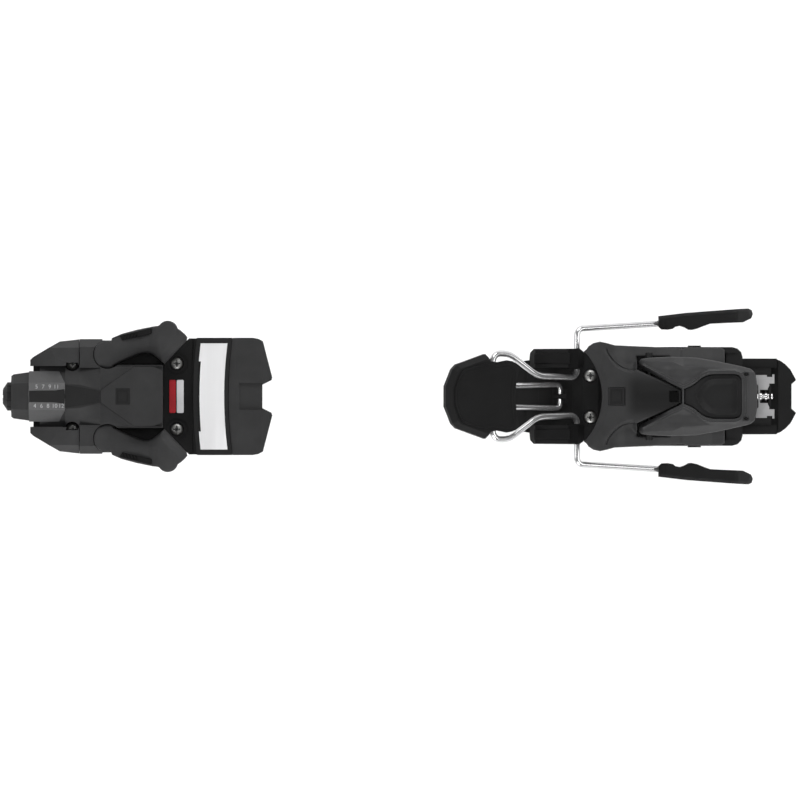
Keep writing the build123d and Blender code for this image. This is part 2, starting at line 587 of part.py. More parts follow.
with BuildPart() as heel_housing:
    plan(both_sides(housing_half), 12, 60)
    upright(333.2 - lip_radius, 0, lip_radius, 0, 80, Mode.SUBTRACT)
    profile(housing_side, -50, 50)
    with BuildSketch(Plane.XY.offset(44)) as hump_plan:
        Polygon(*both_sides(hump_half), align=None)
    hump = extrude(hump_plan.sketch, amount=30, mode=Mode.PRIVATE)
    with BuildSketch(Plane.XZ.offset(-30)) as hump_view:
        Polygon((334, 44), (334, 54.8), (349, 61.8), (360, 64.2), (388, 69.5), (388, 44), align=None)
    add(hump & extrude(hump_view.sketch, amount=60, mode=Mode.PRIVATE))
    upright(311, 0, boot_radius, 10, 49, Mode.SUBTRACT)
    for low, high in ((CHEEK_IN - 0.3, 45), (-45, 0.3 - CHEEK_IN)):
        profile(over_cheek, low, high, Mode.SUBTRACT)
    for side in (1, -1):
        pocket = [(356.6, 19.0), (356.6, 28.2), (381, 28.2), (381, 7.4)]
        plan([(x, side * y) for x, y in pocket], 42.8, 80, Mode.SUBTRACT)
    block(330, 350, -20.4, 20.4, 10, STAND_HEIGHT + 0.1, Mode.SUBTRACT)
    lengthwise(0, SPRING_Z, HEEL_BORE, 349, 422, Mode.SUBTRACT)
    crosswise(PIVOT_X, PIVOT_Z, PIN_RADIUS + RUNNING, -40, 40, Mode.SUBTRACT)
    crosswise(LEVER_X, LEVER_Z, LEVER_PIN, -31, 31, Mode.SUBTRACT)
    block(386.5, 404, -3.3, 3.3, 44, 60, Mode.SUBTRACT)
    badge_plane = Plane(origin=(343.4, 0, 59.35), x_dir=(15, 0, 7), z_dir=(-7, 0, 15))
    with BuildSketch(badge_plane.offset(-1.0)) as badge_seat:
        Rectangle(11.8, 12.4)
    extrude(badge_seat.sketch, amount=4, mode=Mode.SUBTRACT)
keep(heel_housing, "heel_housing")

with BuildPart() as heel_badge:
    with BuildSketch(badge_plane.offset(-0.95)):
        RectangleRounded(11.4, 12.0, 0.6)
    extrude(amount=1.0)
    with BuildSketch(badge_plane.offset(-0.3)):
        Rectangle(9.2, 9.8)
        Rectangle(6.4, 7.0, mode=Mode.SUBTRACT)
    extrude(amount=1, mode=Mode.SUBTRACT)
keep(heel_badge, "heel_badge")

with BuildPart() as heel_treadle:
    treadle_half = [(337.2, 0), (337.2, 17), (340, 20.2), (349.8, 20.2), (349.8, 0)]
    plan(both_sides(treadle_half), 13, STAND_HEIGHT - 0.1)
    profile([(337, 16), (340, 13), (350, 13), (350, STAND_HEIGHT - 0.1), (341, STAND_HEIGHT - 0.1),
             (337, STAND_HEIGHT - 2.5)], -21, 21)
    for rib in (-12, -4, 4, 12):
        block(336, 346, rib - 0.6, rib + 0.6, STAND_HEIGHT - 1.2, STAND_HEIGHT + 1, Mode.SUBTRACT)
keep(heel_treadle, "heel_treadle")

with BuildPart() as heel_spring:
    coil(353.4, 388.0, SPRING_Z, 6.6, 1.5, 6)
keep(heel_spring, "heel_spring")

with BuildPart() as heel_plunger:
    lengthwise(0, SPRING_Z, HEEL_BORE - 0.1, 349.2, 353.2)
    lengthwise(0, SPRING_Z, 4.6, 353.2, 378)
keep(heel_plunger, "heel_plunger")

with BuildPart() as heel_release_screw:
    lengthwise(0, SPRING_Z, HEEL_BORE - 0.1, 410.5, 418.2)
    lengthwise(0, SPRING_Z, 3.4, 389, 410.5)
    block(416.4, 419, -6.6, 6.6, SPRING_Z - 0.9, SPRING_Z + 0.9, Mode.SUBTRACT)
keep(heel_release_screw, "heel_release_screw")

with BuildPart() as heel_indicator:
    lengthwise(0, SPRING_Z, HEEL_BORE - 0.3, 394, 398)
    block(394.5, 397.5, -2.9, 2.9, SPRING_Z, 47.4)
    lengthwise(0, SPRING_Z, 3.4 + RUNNING, 393, 399, Mode.SUBTRACT)
keep(heel_indicator, "heel_indicator")

# ---------------------------------------------------------------- heel lever
lever_half_outer = [
    (359, 19.0), (359.0, 25.4), (361, 26.6), (382.3, 27.6), (398, 27), (419.9, 23.2), (432.4, 20.7),
    (438.6, 19.3), (441.7, 14.5), (442.4, 8.0),
]
lever_neck = 5.2
lever_plan = [
    *both_sides(lever_half_outer), (LEVER_TIP_X, -lever_neck), (LEVER_TIP_X, lever_neck),
]
lever_side = [
    (358, 46.0), (361, 44.6), (370, 45.2), (378, 53.6), (388, 60), (442.6, 80.5), (442.6, 86.0),
    (LEVER_END_X, LEVER_END_Z), (LEVER_TIP_X, LEVER_TIP_Z), (372, 62.5), (362, 57.5), (358, 53),
]
spoon_half = [
    (389.2, 0), (389.2, 6.6), (393.0, 9.0), (398.0, 14.4), (403.5, 16.0), (427.0, 15.4), (430.2, 13.6),
    (431, 10.0), (431, 0),
]
lever_rise = (LEVER_END_Z - LEVER_TIP_Z) / (LEVER_END_X - LEVER_TIP_X)
lever_angle = atan(lever_rise)


def lever_top(x):
    """Height of the lever's upper face behind its neck."""
    return LEVER_TIP_Z + (x - LEVER_TIP_X) * lever_rise


with BuildPart() as heel_lever:
    plan(lever_plan, 40, 95)
    profile(lever_side, -30, 30)
    flank_plane = Plane(origin=(350, 0, lever_top(350)), x_dir=(0, 1, 0),
                        z_dir=(cos(lever_angle), 0, sin(lever_angle)))
    with BuildSketch(flank_plane) as lever_section:
        Polygon((-30, -60), (-30, -8), (-18.5, 0.2), (18.5, 0.2), (30, -8), (30, -60), align=None)
    extrude(lever_section.sketch, amount=110, mode=Mode.INTERSECT)
    crosswise(LEVER_X, LEVER_Z, LEVER_PIN + RUNNING, -31, 31, Mode.SUBTRACT)
    with BuildSketch(Plane.XY.offset(60)) as spoon_seat:
        Polygon(*both_sides(spoon_half), align=None)
        offset(amount=0.25)
    spoon_hollow = extrude(spoon_seat.sketch, amount=40, mode=Mode.PRIVATE)
    with BuildSketch(Plane.XZ.offset(-20)) as spoon_view:
        Polygon((380, lever_top(380) - 2.4), (440, lever_top(440) - 2.4), (440, 99), (380, 99), align=None)
    add(spoon_hollow & extrude(spoon_view.sketch, amount=40, mode=Mode.PRIVATE), mode=Mode.SUBTRACT)
    for side in (1, -1):
        upright(434.3, side * 15.6, 1.6, 70, 99, Mode.SUBTRACT)
keep(heel_lever, "heel_lever")

with BuildPart() as lever_insert:
    plan(both_sides(spoon_half), 60, 99)
    profile([(380, lever_top(380) - 2.3), (440, lever_top(440) - 2.3), (440, lever_top(440) - 0.7),
             (410, lever_top(410) - 1.2), (380, lever_top(380) - 0.7)], -20, 20)
keep(lever_insert, "lever_insert")

with BuildPart() as lever_pin:
    crosswise(LEVER_X, LEVER_Z, LEVER_PIN, -30.5, 30.5)
keep(lever_pin, "lever_pin")

# ---------------------------------------------------------------- ski brake
arm_down = radians(ARM_DROP)
arm_up = radians(PEDAL_RISE)


def rear_arm(along, y):
    """A point on the plane of the braking arms, measured from the brake's axle."""
    return (AXLE_X + along * cos(arm_down), y, AXLE_Z - along * sin(arm_down))


def front_arm(along, y):
    """A point on the plane of the pedal's arms, measured from the brake's axle."""
    return (AXLE_X - along * cos(arm_up), y, AXLE_Z + along * sin(arm_up))


BASE_REAR = TRACK_FRONT - 0.02
base_plan = [
    (268, 0), (268, 20.5), (270.5, 23.5), (283, 25.4), (283.5, 30.5), (286, 33.2), (318, 33.4),
    (BASE_REAR, 31.6), (BASE_REAR, 0),
]
tower_plan = [(283.5, 20.2), (283.5, 30.5), (286, 33.2), (318, 33.4), (BASE_REAR, 31.6), (BASE_REAR, 20.2)]
tower_side = [(283, 2), (283, 12), (287, 19.5), (292, 22.4), (310, 22.4), (317, 19), (321, 12.4), (321, 2)]
with BuildPart() as brake_base:
    plan(both_sides(base_plan), 0, 5)
    for side in (1, -1):
        plan([(x, side * y) for x, y in tower_plan], 5, 24)
    profile([(267, -1), (267, 4), (270, 5), (283, 5), *tower_side[1:-1], (321, -1)], -40, 40)
    block(271, 289.5, -7.0, 7.0, 3.9, 6, Mode.SUBTRACT)
    block(299.5, 309.5, -5.0, 5.0, 5, 10.0)
    block(313.2, BASE_REAR, -20.2, 20.2, 5, 6.4)
    side_blocks(309, BASE_REAR, 19.0, 20.4, 5, 12)
    crosswise(AXLE_X, AXLE_Z, WIRE + RUNNING, 18, 40, Mode.SUBTRACT)
    crosswise(AXLE_X, AXLE_Z, WIRE + RUNNING, -40, -18, Mode.SUBTRACT)
    crosswise(LINK_X, LINK_Z, WIRE + RUNNING, -6, 6, Mode.SUBTRACT)
    block(LINK_X - WIRE - RUNNING, LINK_X + WIRE + RUNNING, -6, 6, LINK_Z, 12, Mode.SUBTRACT)
    side_blocks(286, 312, 22.5, 30.5, 19.0, 30, Mode.SUBTRACT)
    side_blocks(279, 281.6, 10, 24, 3.4, 6, Mode.SUBTRACT)
keep(brake_base, "brake_base")

with BuildPart() as brake_keeper:
    block(300, 309, -1.8, 1.8, 10.25, 11.8)
    chamfer(brake_keeper.edges().group_by(Axis.Z)[-1], 0.5)
keep(brake_keeper, "brake_keeper")

for side, name in ((1, "tower_cap_right"), (-1, "tower_cap_left")):
    with BuildPart() as tower_cap:
        block(286.2, 311.8, side * 26.5 - 3.8, side * 26.5 + 3.8, 19.1, 23.2)
        chamfer(tower_cap.edges().group_by(Axis.Z)[-1], 0.8)
    keep(tower_cap, name)

# Each arm is one steel wire: braking arm, axle, pedal arm and the pin on which the pedal turns.
ARM_END = 112.0
ARM_END_Y = 53.4
AXLE_END = 47.3
with BuildPart() as brake_wire_right:
    rod_along(
        [
            front_arm(PEDAL_ARM, 15.5), front_arm(PEDAL_ARM, 29.9), front_arm(60.0, 29.9),
            front_arm(34.5, 14.2), front_arm(0.0, 13.4), (AXLE_X, AXLE_END, AXLE_Z),
            rear_arm(ARM_END, ARM_END_Y),
        ],
        [6.5, 20.0, 22.0, 5.5, 5.0],
    )
keep(brake_wire_right, "brake_wire_right")

with BuildPart() as brake_wire_left:
    mirror(brake_wire_right.part, about=Plane.XZ)
keep(brake_wire_left, "brake_wire_left")

# Pads are drawn flat beside the arm, then turned down with it.
PAD_FRONT = 67.9
pad_plan = [
    (PAD_FRONT, 46.9), (77.5, 46.4), (81.0, 48.6), (86.5, 49.2), (92.0, 46.7), (97.0, 47.0),
    (108.0, 50.6), (114, 51.0), (134, 51.9), (143.0, 53.8), (ARM_LENGTH, 57.2), (146.0, 61.6),
    (139.0, 62.2), (113.0, 61.0), (PAD_FRONT, 57.3),
]
pad_side = [
    (PAD_FRONT, -5.5), (78, -6.5), (92, -9.5), (128, -12.0), (142.5, -11.0), (ARM_LENGTH, -6.0),
    (ARM_LENGTH, 2.0), (143, 8.0), (126, 9.0), (92, 7.0), (PAD_FRONT, 5.5),
]
along_arm = (cos(arm_down), 0, -sin(arm_down))
braking_plane = Plane(
    origin=(AXLE_X, 0, AXLE_Z), x_dir=along_arm, z_dir=(sin(arm_down), 0, cos(arm_down)),
)
with BuildPart() as brake_pad_right:
    with BuildSketch(braking_plane.offset(-15)) as pad_outline:
        Polygon(*pad_plan, align=None)
    pad_body = extrude(pad_outline.sketch, amount=30, mode=Mode.PRIVATE)
    pad_face = Plane(origin=(AXLE_X, 70, AXLE_Z), x_dir=braking_plane.x_dir, z_dir=(0, -1, 0))
    with BuildSketch(pad_face) as pad_edge:
        Polygon(*pad_side, align=None)
    add(pad_body & extrude(pad_edge.sketch, amount=40, mode=Mode.PRIVATE))
    start = Vector(*rear_arm(60, AXLE_END + (ARM_END_Y - AXLE_END) * 60 / ARM_END))
    end = Vector(*rear_arm(ARM_END + 0.3, ARM_END_Y))
    with BuildSketch(Plane(origin=start, z_dir=end - start)) as bore:
        Circle(WIRE + 0.02)
    extrude(bore.sketch, amount=(end - start).length, mode=Mode.SUBTRACT)
keep(brake_pad_right, "brake_pad_right")

with BuildPart() as brake_pad_left:
    mirror(brake_pad_right.part, about=Plane.XZ)
keep(brake_pad_left, "brake_pad_left")

# Pedal: a shell that turns on the ends of the wires, tipped up at the front when the brake is down.
pedal_hinge = Vector(*front_arm(PEDAL_ARM, 0))
tilt = radians(PEDAL_TILT)
pedal_plane = Plane(
    origin=pedal_hinge, x_dir=(cos(tilt), 0, -sin(tilt)), z_dir=(sin(tilt), 0, cos(tilt)),
)
pedal_half = [
    (-34.6, 0), (-34.6, 7.0), (-29.6, 19.0), (-26.4, 22.2), (-15.0, 26.1), (-5.2, 29.5), (-2.4, 24.6),
    (2.4, 23.8), (9.6, 25.2), (14.0, 24.4), (19.0, 20.5), (17.0, 12.0), (16.0, 4.0), (15.8, 0),
]
pedal_inner = [
    (-31.4, 0), (-31.4, 6.2), (-27.0, 16.8), (-24.4, 19.8), (-13.6, 23.5), (-7.0, 25.4), (-5.0, 21.6),
    (-4.0, 21.6), (14.0, 21.5), (14.6, 12.2), (22.0, 12.2), (22.0, 0),
]
with BuildPart() as brake_pedal:
    with BuildSketch(pedal_plane.offset(-5.0)) as pedal_outline:
        Polygon(*both_sides(pedal_half), align=None)
    extrude(amount=8.2)
    pedal_top = brake_pedal.faces().sort_by(Axis(pedal_hinge, pedal_plane.z_dir))[-1]
    chamfer(pedal_top.edges().filter_by(lambda edge: edge.center().X < pedal_hinge.X - 4), 3.4)
    with BuildSketch(pedal_plane.offset(-6.0)) as pedal_hollow:
        Polygon(*both_sides(pedal_inner), align=None)
    extrude(pedal_hollow.sketch, amount=6.8, mode=Mode.SUBTRACT)
    for side in (1, -1):
        with BuildSketch(pedal_plane.offset(-5.0)) as ear:
            with Locations((0, side * 18.5)):
                Rectangle(10, 10)
        extrude(ear.sketch, amount=7)
    hinge_axis = Plane(origin=pedal_hinge + Vector(0, -40, 0), z_dir=(0, 1, 0))
    with BuildSketch(hinge_axis) as hinge_bore:
        Circle(WIRE + RUNNING)
    hinge_drill = extrude(hinge_bore.sketch, amount=80, mode=Mode.PRIVATE)
    add(hinge_drill, mode=Mode.SUBTRACT)
    with BuildSketch(pedal_plane.offset(-6.0)) as wire_room:
        for side in (1, -1):
            with Locations((8.0, side * 27.0)):
                Rectangle(24, 9)
    extrude(wire_room.sketch, amount=7.2, mode=Mode.SUBTRACT)
keep(brake_pedal, "brake_pedal")

tread_half = [
    (-29.6, 0), (-29.6, 6.0), (-25.6, 16.2), (-22.6, 19.0), (-13.0, 21.8), (-5.8, 23.4), (-3.0, 22.2),
    (2.4, 22.0), (9.0, 23.4), (13.4, 22.4), (16.8, 19.2), (15.2, 11.0), (14.2, 0),
]
with BuildPart() as pedal_tread:
    with BuildSketch(pedal_plane.offset(3.2)) as tread_outline:
        Polygon(*both_sides(tread_half), align=None)
    extrude(tread_outline.sketch, amount=2.0)
    tread_top = pedal_tread.faces().sort_by(Axis(pedal_hinge, pedal_plane.z_dir))[-1]
    chamfer(tread_top.edges(), 0.9)
keep(pedal_tread, "pedal_tread")

# U-shaped link: its bow turns in the base, its ends slide in the pedal's hollow.
link_rise = radians(LINK_RISE)


def link_point(along, y):
    """A point on the link's plane, measured from its bow."""
    return (LINK_X - along * cos(link_rise), y, LINK_Z + along * sin(link_rise))


with BuildPart() as brake_link:
    rod_along(
        [
            link_point(LINK_LENGTH, 10.9), link_point(LINK_LENGTH, 7.3), link_point(0, 8.4),
            link_point(0, -8.4), link_point(LINK_LENGTH, -7.3), link_point(LINK_LENGTH, -10.9),
        ],
        [2.6, 3.6, 3.6, 2.6],
        1.9,
    )
keep(brake_link, "brake_link")
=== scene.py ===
import math

import bmesh
import bpy
import numpy as np
from mathutils import Matrix, Vector
from mathutils.geometry import delaunay_2d_cdt


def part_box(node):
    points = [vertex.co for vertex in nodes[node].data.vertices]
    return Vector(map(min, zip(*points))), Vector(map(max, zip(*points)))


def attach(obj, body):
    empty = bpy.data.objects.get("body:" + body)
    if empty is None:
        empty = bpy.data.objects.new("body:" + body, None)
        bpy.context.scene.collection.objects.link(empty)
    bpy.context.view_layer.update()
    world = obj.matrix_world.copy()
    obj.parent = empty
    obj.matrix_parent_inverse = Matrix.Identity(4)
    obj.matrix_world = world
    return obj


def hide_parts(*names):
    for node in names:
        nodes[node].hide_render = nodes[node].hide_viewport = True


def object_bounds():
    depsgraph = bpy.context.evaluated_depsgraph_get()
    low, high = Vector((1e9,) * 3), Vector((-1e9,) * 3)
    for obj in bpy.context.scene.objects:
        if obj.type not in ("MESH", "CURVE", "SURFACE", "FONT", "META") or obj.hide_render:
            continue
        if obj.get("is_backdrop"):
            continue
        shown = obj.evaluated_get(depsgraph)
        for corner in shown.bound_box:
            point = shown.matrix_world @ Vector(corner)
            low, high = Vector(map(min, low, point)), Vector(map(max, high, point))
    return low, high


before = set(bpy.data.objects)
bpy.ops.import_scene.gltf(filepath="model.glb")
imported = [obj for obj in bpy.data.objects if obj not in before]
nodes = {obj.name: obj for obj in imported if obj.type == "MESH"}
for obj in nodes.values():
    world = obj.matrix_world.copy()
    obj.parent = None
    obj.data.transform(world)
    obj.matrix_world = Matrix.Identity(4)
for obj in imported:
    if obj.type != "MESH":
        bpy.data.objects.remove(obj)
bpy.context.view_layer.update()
MM = 0.001

# ---------------------------------------------------------------- materials
# Paler edges are partly rubbed wear and partly painted highlight.
# The saddle's tone is painted shade, standing in for the dim reflection the hollow saddle catches.
WEAR_AND_HIGHLIGHT_RADIUS, WORN_AND_LIT_TONE, SADDLE_SHADE_TONE = 0.0011, 2.2, 0.15
MOTTLE, SHEEN_SPREAD = 0.14, 0.07


def new_material(name):
    """A material with its own principled shader, and a short way to add and join nodes."""
    material = bpy.data.materials.new(name)
    material.use_nodes = True
    tree = material.node_tree
    shader = tree.nodes["Principled BSDF"]

    def add(kind, **inputs):
        node = tree.nodes.new(kind)
        for key, value in inputs.items():
            node.inputs[key.replace("_", " ")].default_value = value
        return node

    def join(source, target):
        tree.links.new(source, target)

    return material, shader, add, join


def place(add, join, stretch=(1, 1, 1)):
    """Object coordinates, stretched along the object's own axes."""
    coordinates = add("ShaderNodeTexCoord")
    mapping = add("ShaderNodeMapping", Scale=stretch)
    join(coordinates.outputs["Object"], mapping.inputs["Vector"])
    return mapping.outputs["Vector"]


def ramp(add, low, high, start=0.0, end=1.0):
    """A two-colour ramp."""
    node = add("ShaderNodeValToRGB")
    node.color_ramp.elements[0].color = (*low, 1)
    node.color_ramp.elements[1].color = (*high, 1)
    node.color_ramp.elements[0].position = start
    node.color_ramp.elements[1].position = end
    return node


def grey(value):
    """A neutral tone, a trace cool."""
    return (value, value, value * 1.02)


def red(value):
    """The red of the printed bar."""
    return (value, value * 0.03, value * 0.05)


def product(add, join, one, other):
    """Two sockets multiplied, or a socket and a plain number."""
    node = add("ShaderNodeMath")
    node.operation = "MULTIPLY"
    join(one, node.inputs[0])
    if isinstance(other, float):
        node.inputs[1].default_value = other
    else:
        join(other, node.inputs[1])
    return node.outputs["Value"]


def giving_way(add, join, colour, other, share):
    """A colour that gives way to another, fixed colour by a share that varies over the surface."""
    mix = add("ShaderNodeMix")
    mix.data_type = "RGBA"
    mix.inputs[7].default_value = (*other, 1)
    join(share, mix.inputs[0])
    join(colour, mix.inputs[6])
    return mix.outputs[2]


def with_painted_shade(add, join, where, colour, tone, front, rear, half, soft):
    """Painted shade: the colour, falling to a darker tone inside a soft-edged stretch of x about the middle
    line.
    """
    parts = add("ShaderNodeSeparateXYZ")
    join(where, parts.inputs["Vector"])
    across = add("ShaderNodeMath")
    across.operation = "ABSOLUTE"
    join(parts.outputs["Y"], across.inputs[0])
    masks = []
    for source, start, end in (
        (parts.outputs["X"], front - soft, front + soft), (parts.outputs["X"], rear + soft, rear - soft),
        (across.outputs["Value"], half + soft, half - soft),
    ):
        mask = add("ShaderNodeMapRange")
        mask.interpolation_type = "SMOOTHSTEP"
        mask.inputs["From Min"].default_value = start
        mask.inputs["From Max"].default_value = end
        join(source, mask.inputs["Value"])
        masks.append(mask.outputs["Result"])
    along = product(add, join, masks[0], masks[1])
    share = product(add, join, along, masks[2])
    return giving_way(add, join, colour, grey(tone), share)


def moulded(
    name, tone, roughness=0.5, grain=2600.0, grain_depth=0.12, rub_and_highlight=0.35, gloss=0.2, shade=grey, saddle_shade=None,
):
    """Moulded plastic: fine grain, soft mottling, paler edges of rubbed wear and painted highlight, and
    perhaps a painted shade on a darker saddle.
    """
    material, shader, add, join = new_material(name)
    where = place(add, join)
    fine = add("ShaderNodeTexNoise", Scale=grain, Detail=3.0, Roughness=0.6)
    join(where, fine.inputs["Vector"])
    cloud = add("ShaderNodeTexNoise", Scale=60.0, Detail=4.0, Roughness=0.55)
    join(where, cloud.inputs["Vector"])
    tint = ramp(add, shade(tone * (1 - MOTTLE)), shade(tone * (1 + MOTTLE)), 0.3, 0.7)
    join(cloud.outputs["Fac"], tint.inputs["Fac"])
    edge = add("ShaderNodeBevel", Radius=WEAR_AND_HIGHLIGHT_RADIUS)
    edge.samples = 4
    face = add("ShaderNodeNewGeometry")
    across = add("ShaderNodeVectorMath")
    across.operation = "DOT_PRODUCT"
    join(edge.outputs["Normal"], across.inputs[0])
    join(face.outputs["Normal"], across.inputs[1])
    # Paler edges: partly rubbed wear, partly painted highlight.
    worn_and_lit = add("ShaderNodeMapRange")
    worn_and_lit.inputs["From Min"].default_value = 0.99
    worn_and_lit.inputs["From Max"].default_value = 0.80
    join(across.outputs["Value"], worn_and_lit.inputs["Value"])
    patchy = product(add, join, worn_and_lit.outputs["Result"], cloud.outputs["Fac"])
    strength = product(add, join, patchy, rub_and_highlight)
    colour = giving_way(add, join, tint.outputs["Color"], shade(tone * WORN_AND_LIT_TONE), strength)
    # Painted shade darkening the saddle.
    if saddle_shade:
        colour = with_painted_shade(add, join, where, colour, tone * SADDLE_SHADE_TONE, *saddle_shade)
    join(colour, shader.inputs["Base Color"])
    sheen = add("ShaderNodeMapRange")
    sheen.inputs["To Min"].default_value = roughness - SHEEN_SPREAD
    sheen.inputs["To Max"].default_value = roughness + SHEEN_SPREAD
    join(fine.outputs["Fac"], sheen.inputs["Value"])
    join(sheen.outputs["Result"], shader.inputs["Roughness"])
    bump = add("ShaderNodeBump", Strength=grain_depth, Distance=0.00012)
    join(fine.outputs["Fac"], bump.inputs["Height"])
    join(bump.outputs["Normal"], shader.inputs["Normal"])
    shader.inputs["Specular IOR Level"].default_value = gloss
    return material


def metal(name, tone, roughness, brush=(1, 1, 1), brushed=0.08, warm=0.0, metallic=1.0):
    """Bare or lacquered metal: fine scratches along one axis and a slightly uneven polish."""
    material, shader, add, join = new_material(name)
    where = place(add, join, brush)
    scratch = add("ShaderNodeTexNoise", Scale=900.0, Detail=4.0, Roughness=0.6)
    join(where, scratch.inputs["Vector"])
    cloud = add("ShaderNodeTexNoise", Scale=90.0, Detail=3.0)
    join(where, cloud.inputs["Vector"])
    dull = (tone * 0.93, tone * 0.93, tone * (0.94 - warm))
    bright = (tone, tone, tone * (1.01 - warm))
    tint = ramp(add, dull, bright, 0.3, 0.7)
    join(cloud.outputs["Fac"], tint.inputs["Fac"])
    join(tint.outputs["Color"], shader.inputs["Base Color"])
    polish = add("ShaderNodeMapRange")
    polish.inputs["To Min"].default_value = max(0.03, roughness - 0.06)
    polish.inputs["To Max"].default_value = roughness + 0.08
    join(scratch.outputs["Fac"], polish.inputs["Value"])
    join(polish.outputs["Result"], shader.inputs["Roughness"])
    bump = add("ShaderNodeBump", Strength=brushed, Distance=0.0001)
    join(scratch.outputs["Fac"], bump.inputs["Height"])
    join(bump.outputs["Normal"], shader.inputs["Normal"])
    shader.inputs["Metallic"].default_value = metallic
    return material


CHARCOAL = moulded("charcoal_shell", 0.021, 0.58, gloss=0.18)
# The housing's saddle is darkened with painted shade, not a darker plastic.
HOUSING = moulded("charcoal_housing", 0.022, 0.58, gloss=0.18, saddle_shade=(0.352, 0.395, 0.0125, 0.006))
# The lever's strong edge paling paints a highlight along its rims, beyond its wear.
LEVER = moulded("charcoal_lever", 0.031, 0.52, rub_and_highlight=0.8, gloss=0.24)
WING = moulded("charcoal_wing", 0.025, 0.58, gloss=0.18)
SPOON = moulded("thumb_pad_rubber", 0.0095, 0.6, grain=3000.0, gloss=0.14)
DARK = moulded("dark_shell", 0.009, 0.58, grain=3000.0, gloss=0.16)
BLACK = moulded("black_base", 0.0070, 0.58, grain=3400.0, rub_and_highlight=0.25, gloss=0.12)
RUBBER = moulded("ribbed_rubber", 0.006, 0.75, grain=1800.0, grain_depth=0.3, rub_and_highlight=0.1, gloss=0.12)
CHROME = metal("polished_wire", 0.60, 0.16, brushed=0.03, metallic=0.76)
SATIN = metal("brushed_plate", 0.60, 0.45, brush=(1, 0.04, 1), brushed=0.12)
STAMPED = metal("stamped_plate", 0.34, 0.45, brushed=0.15)
ZINC = metal("zinc_screw", 0.34, 0.45, brushed=0.3, warm=0.04)
SPRING = metal("oiled_spring", 0.30, 0.3)
PIN = metal("blackened_pin", 0.03, 0.5)
SMOKE = moulded("smoked_window", 0.050, 0.3, grain=900.0, grain_depth=0.02, rub_and_highlight=0.1, gloss=0.3)
RED = moulded("red_print", 0.36, 0.5, rub_and_highlight=0.0, shade=red)
PALE = moulded("pale_print", 0.62, 0.5, rub_and_highlight=0.0)
FADED = moulded("faded_print", 0.26, 0.5, rub_and_highlight=0.0)


# ---------------------------------------------------------------- mesh tools, all in millimetres
CREASE_ANGLE = 32
MERGE, SLIVER = 0.00001, 0.000005  # in metres
THINNEST = 0.3


def both_sides(half):
    """A half outline on the +Y side, closed by its mirror image."""
    return [*half, *[(x, -y) for x, y in reversed(half) if y > 0]]


def arc(centre, radius, start, end, steps=20):
    """Points along an arc, its angles in degrees."""
    turns = np.radians(np.linspace(start, end, steps))
    return [(centre[0] + radius * math.cos(turn), centre[1] + radius * math.sin(turn)) for turn in turns]


def softened(points, rounds=2, share=0.25):
    """A closed outline with its corners cut, again and again."""
    line = np.array(points, float)
    for _ in range(rounds):
        after = np.roll(line, -1, 0)
        near = line + (after - line) * share
        far = line + (after - line) * (1 - share)
        line = np.stack([near, far], 1).reshape(-1, 2)
    return [tuple(point) for point in line]


def spaced(points, pitch, closed):
    """The same line with its points no further apart than the pitch."""
    line = [tuple(point) for point in points]
    ends = line[1:] + line[:1] if closed else line[1:]
    out = []
    for (x0, y0), (x1, y1) in zip(line, ends):
        steps = max(1, math.ceil(math.hypot(x1 - x0, y1 - y0) / pitch))
        out += [(x0 + (x1 - x0) * k / steps, y0 + (y1 - y0) * k / steps) for k in range(steps)]
    if not closed:
        out.append(line[-1])
    return np.array(out)


def away(places, points, closed=False):
    """How far each place is from a line."""
    line = np.array(points, float)
    starts, ends = (line, np.roll(line, -1, 0)) if closed else (line[:-1], line[1:])
    best = np.full(len(places), 1e9)
    for start, end in zip(starts, ends):
        run = end - start
        share = np.clip((places - start) @ run / max(run @ run, 1e-12), 0, 1)
        best = np.minimum(best, np.linalg.norm(places - start - share[:, None] * run, axis=1))
    return best


def within(places, points):
    """Which places are inside a closed outline."""
    line = np.array(points, float)
    inside = np.zeros(len(places), bool)
    for (x0, y0), (x1, y1) in zip(line, np.roll(line, -1, 0)):
        if y0 == y1:
            continue
        crosses = (y0 > places[:, 1]) != (y1 > places[:, 1])
        inside ^= crosses & (places[:, 0] < x0 + (places[:, 1] - y0) * (x1 - x0) / (y1 - y0))
    return inside


def ease(value, start, end):
    """0 at start, 1 at end, smooth between."""
    share = np.clip((value - start) / (end - start), 0, 1)
    return share * share * (3 - 2 * share)


def bump(distance, width):
    """1 on a line, falling smoothly to 0 about twice the width away."""
    return np.exp(-((distance / width) ** 2))


def heights(stations):
    """A height that runs straight between stations of (x, z)."""
    xs, zs = zip(*stations)
    return lambda x: np.interp(x, xs, zs)


def finish_mesh(name, vertices, faces, material, placing=None, sharp=CREASE_ANGLE):
    """An object from millimetre points, smooth but for its sharp creases."""
    mesh = bpy.data.meshes.new(name)
    mesh.from_pydata([Vector(v) * MM for v in vertices], [], faces)
    if placing is not None:
        mesh.transform(placing)
    work = bmesh.new()
    work.from_mesh(mesh)
    bmesh.ops.remove_doubles(work, verts=work.verts, dist=MERGE)
    bmesh.ops.dissolve_degenerate(work, edges=work.edges, dist=SLIVER)
    bmesh.ops.recalc_face_normals(work, faces=work.faces)
    work.to_mesh(mesh)
    work.free()
    for face in mesh.polygons:
        face.use_smooth = True
    mesh.set_sharp_from_angle(angle=math.radians(sharp))
    mesh.materials.append(material)
    piece = bpy.data.objects.new(name, mesh)
    bpy.context.collection.objects.link(piece)
    return piece


def level(height):
    """A flat top or floor for relief()."""
    return lambda places, edge: np.full(len(places), height)


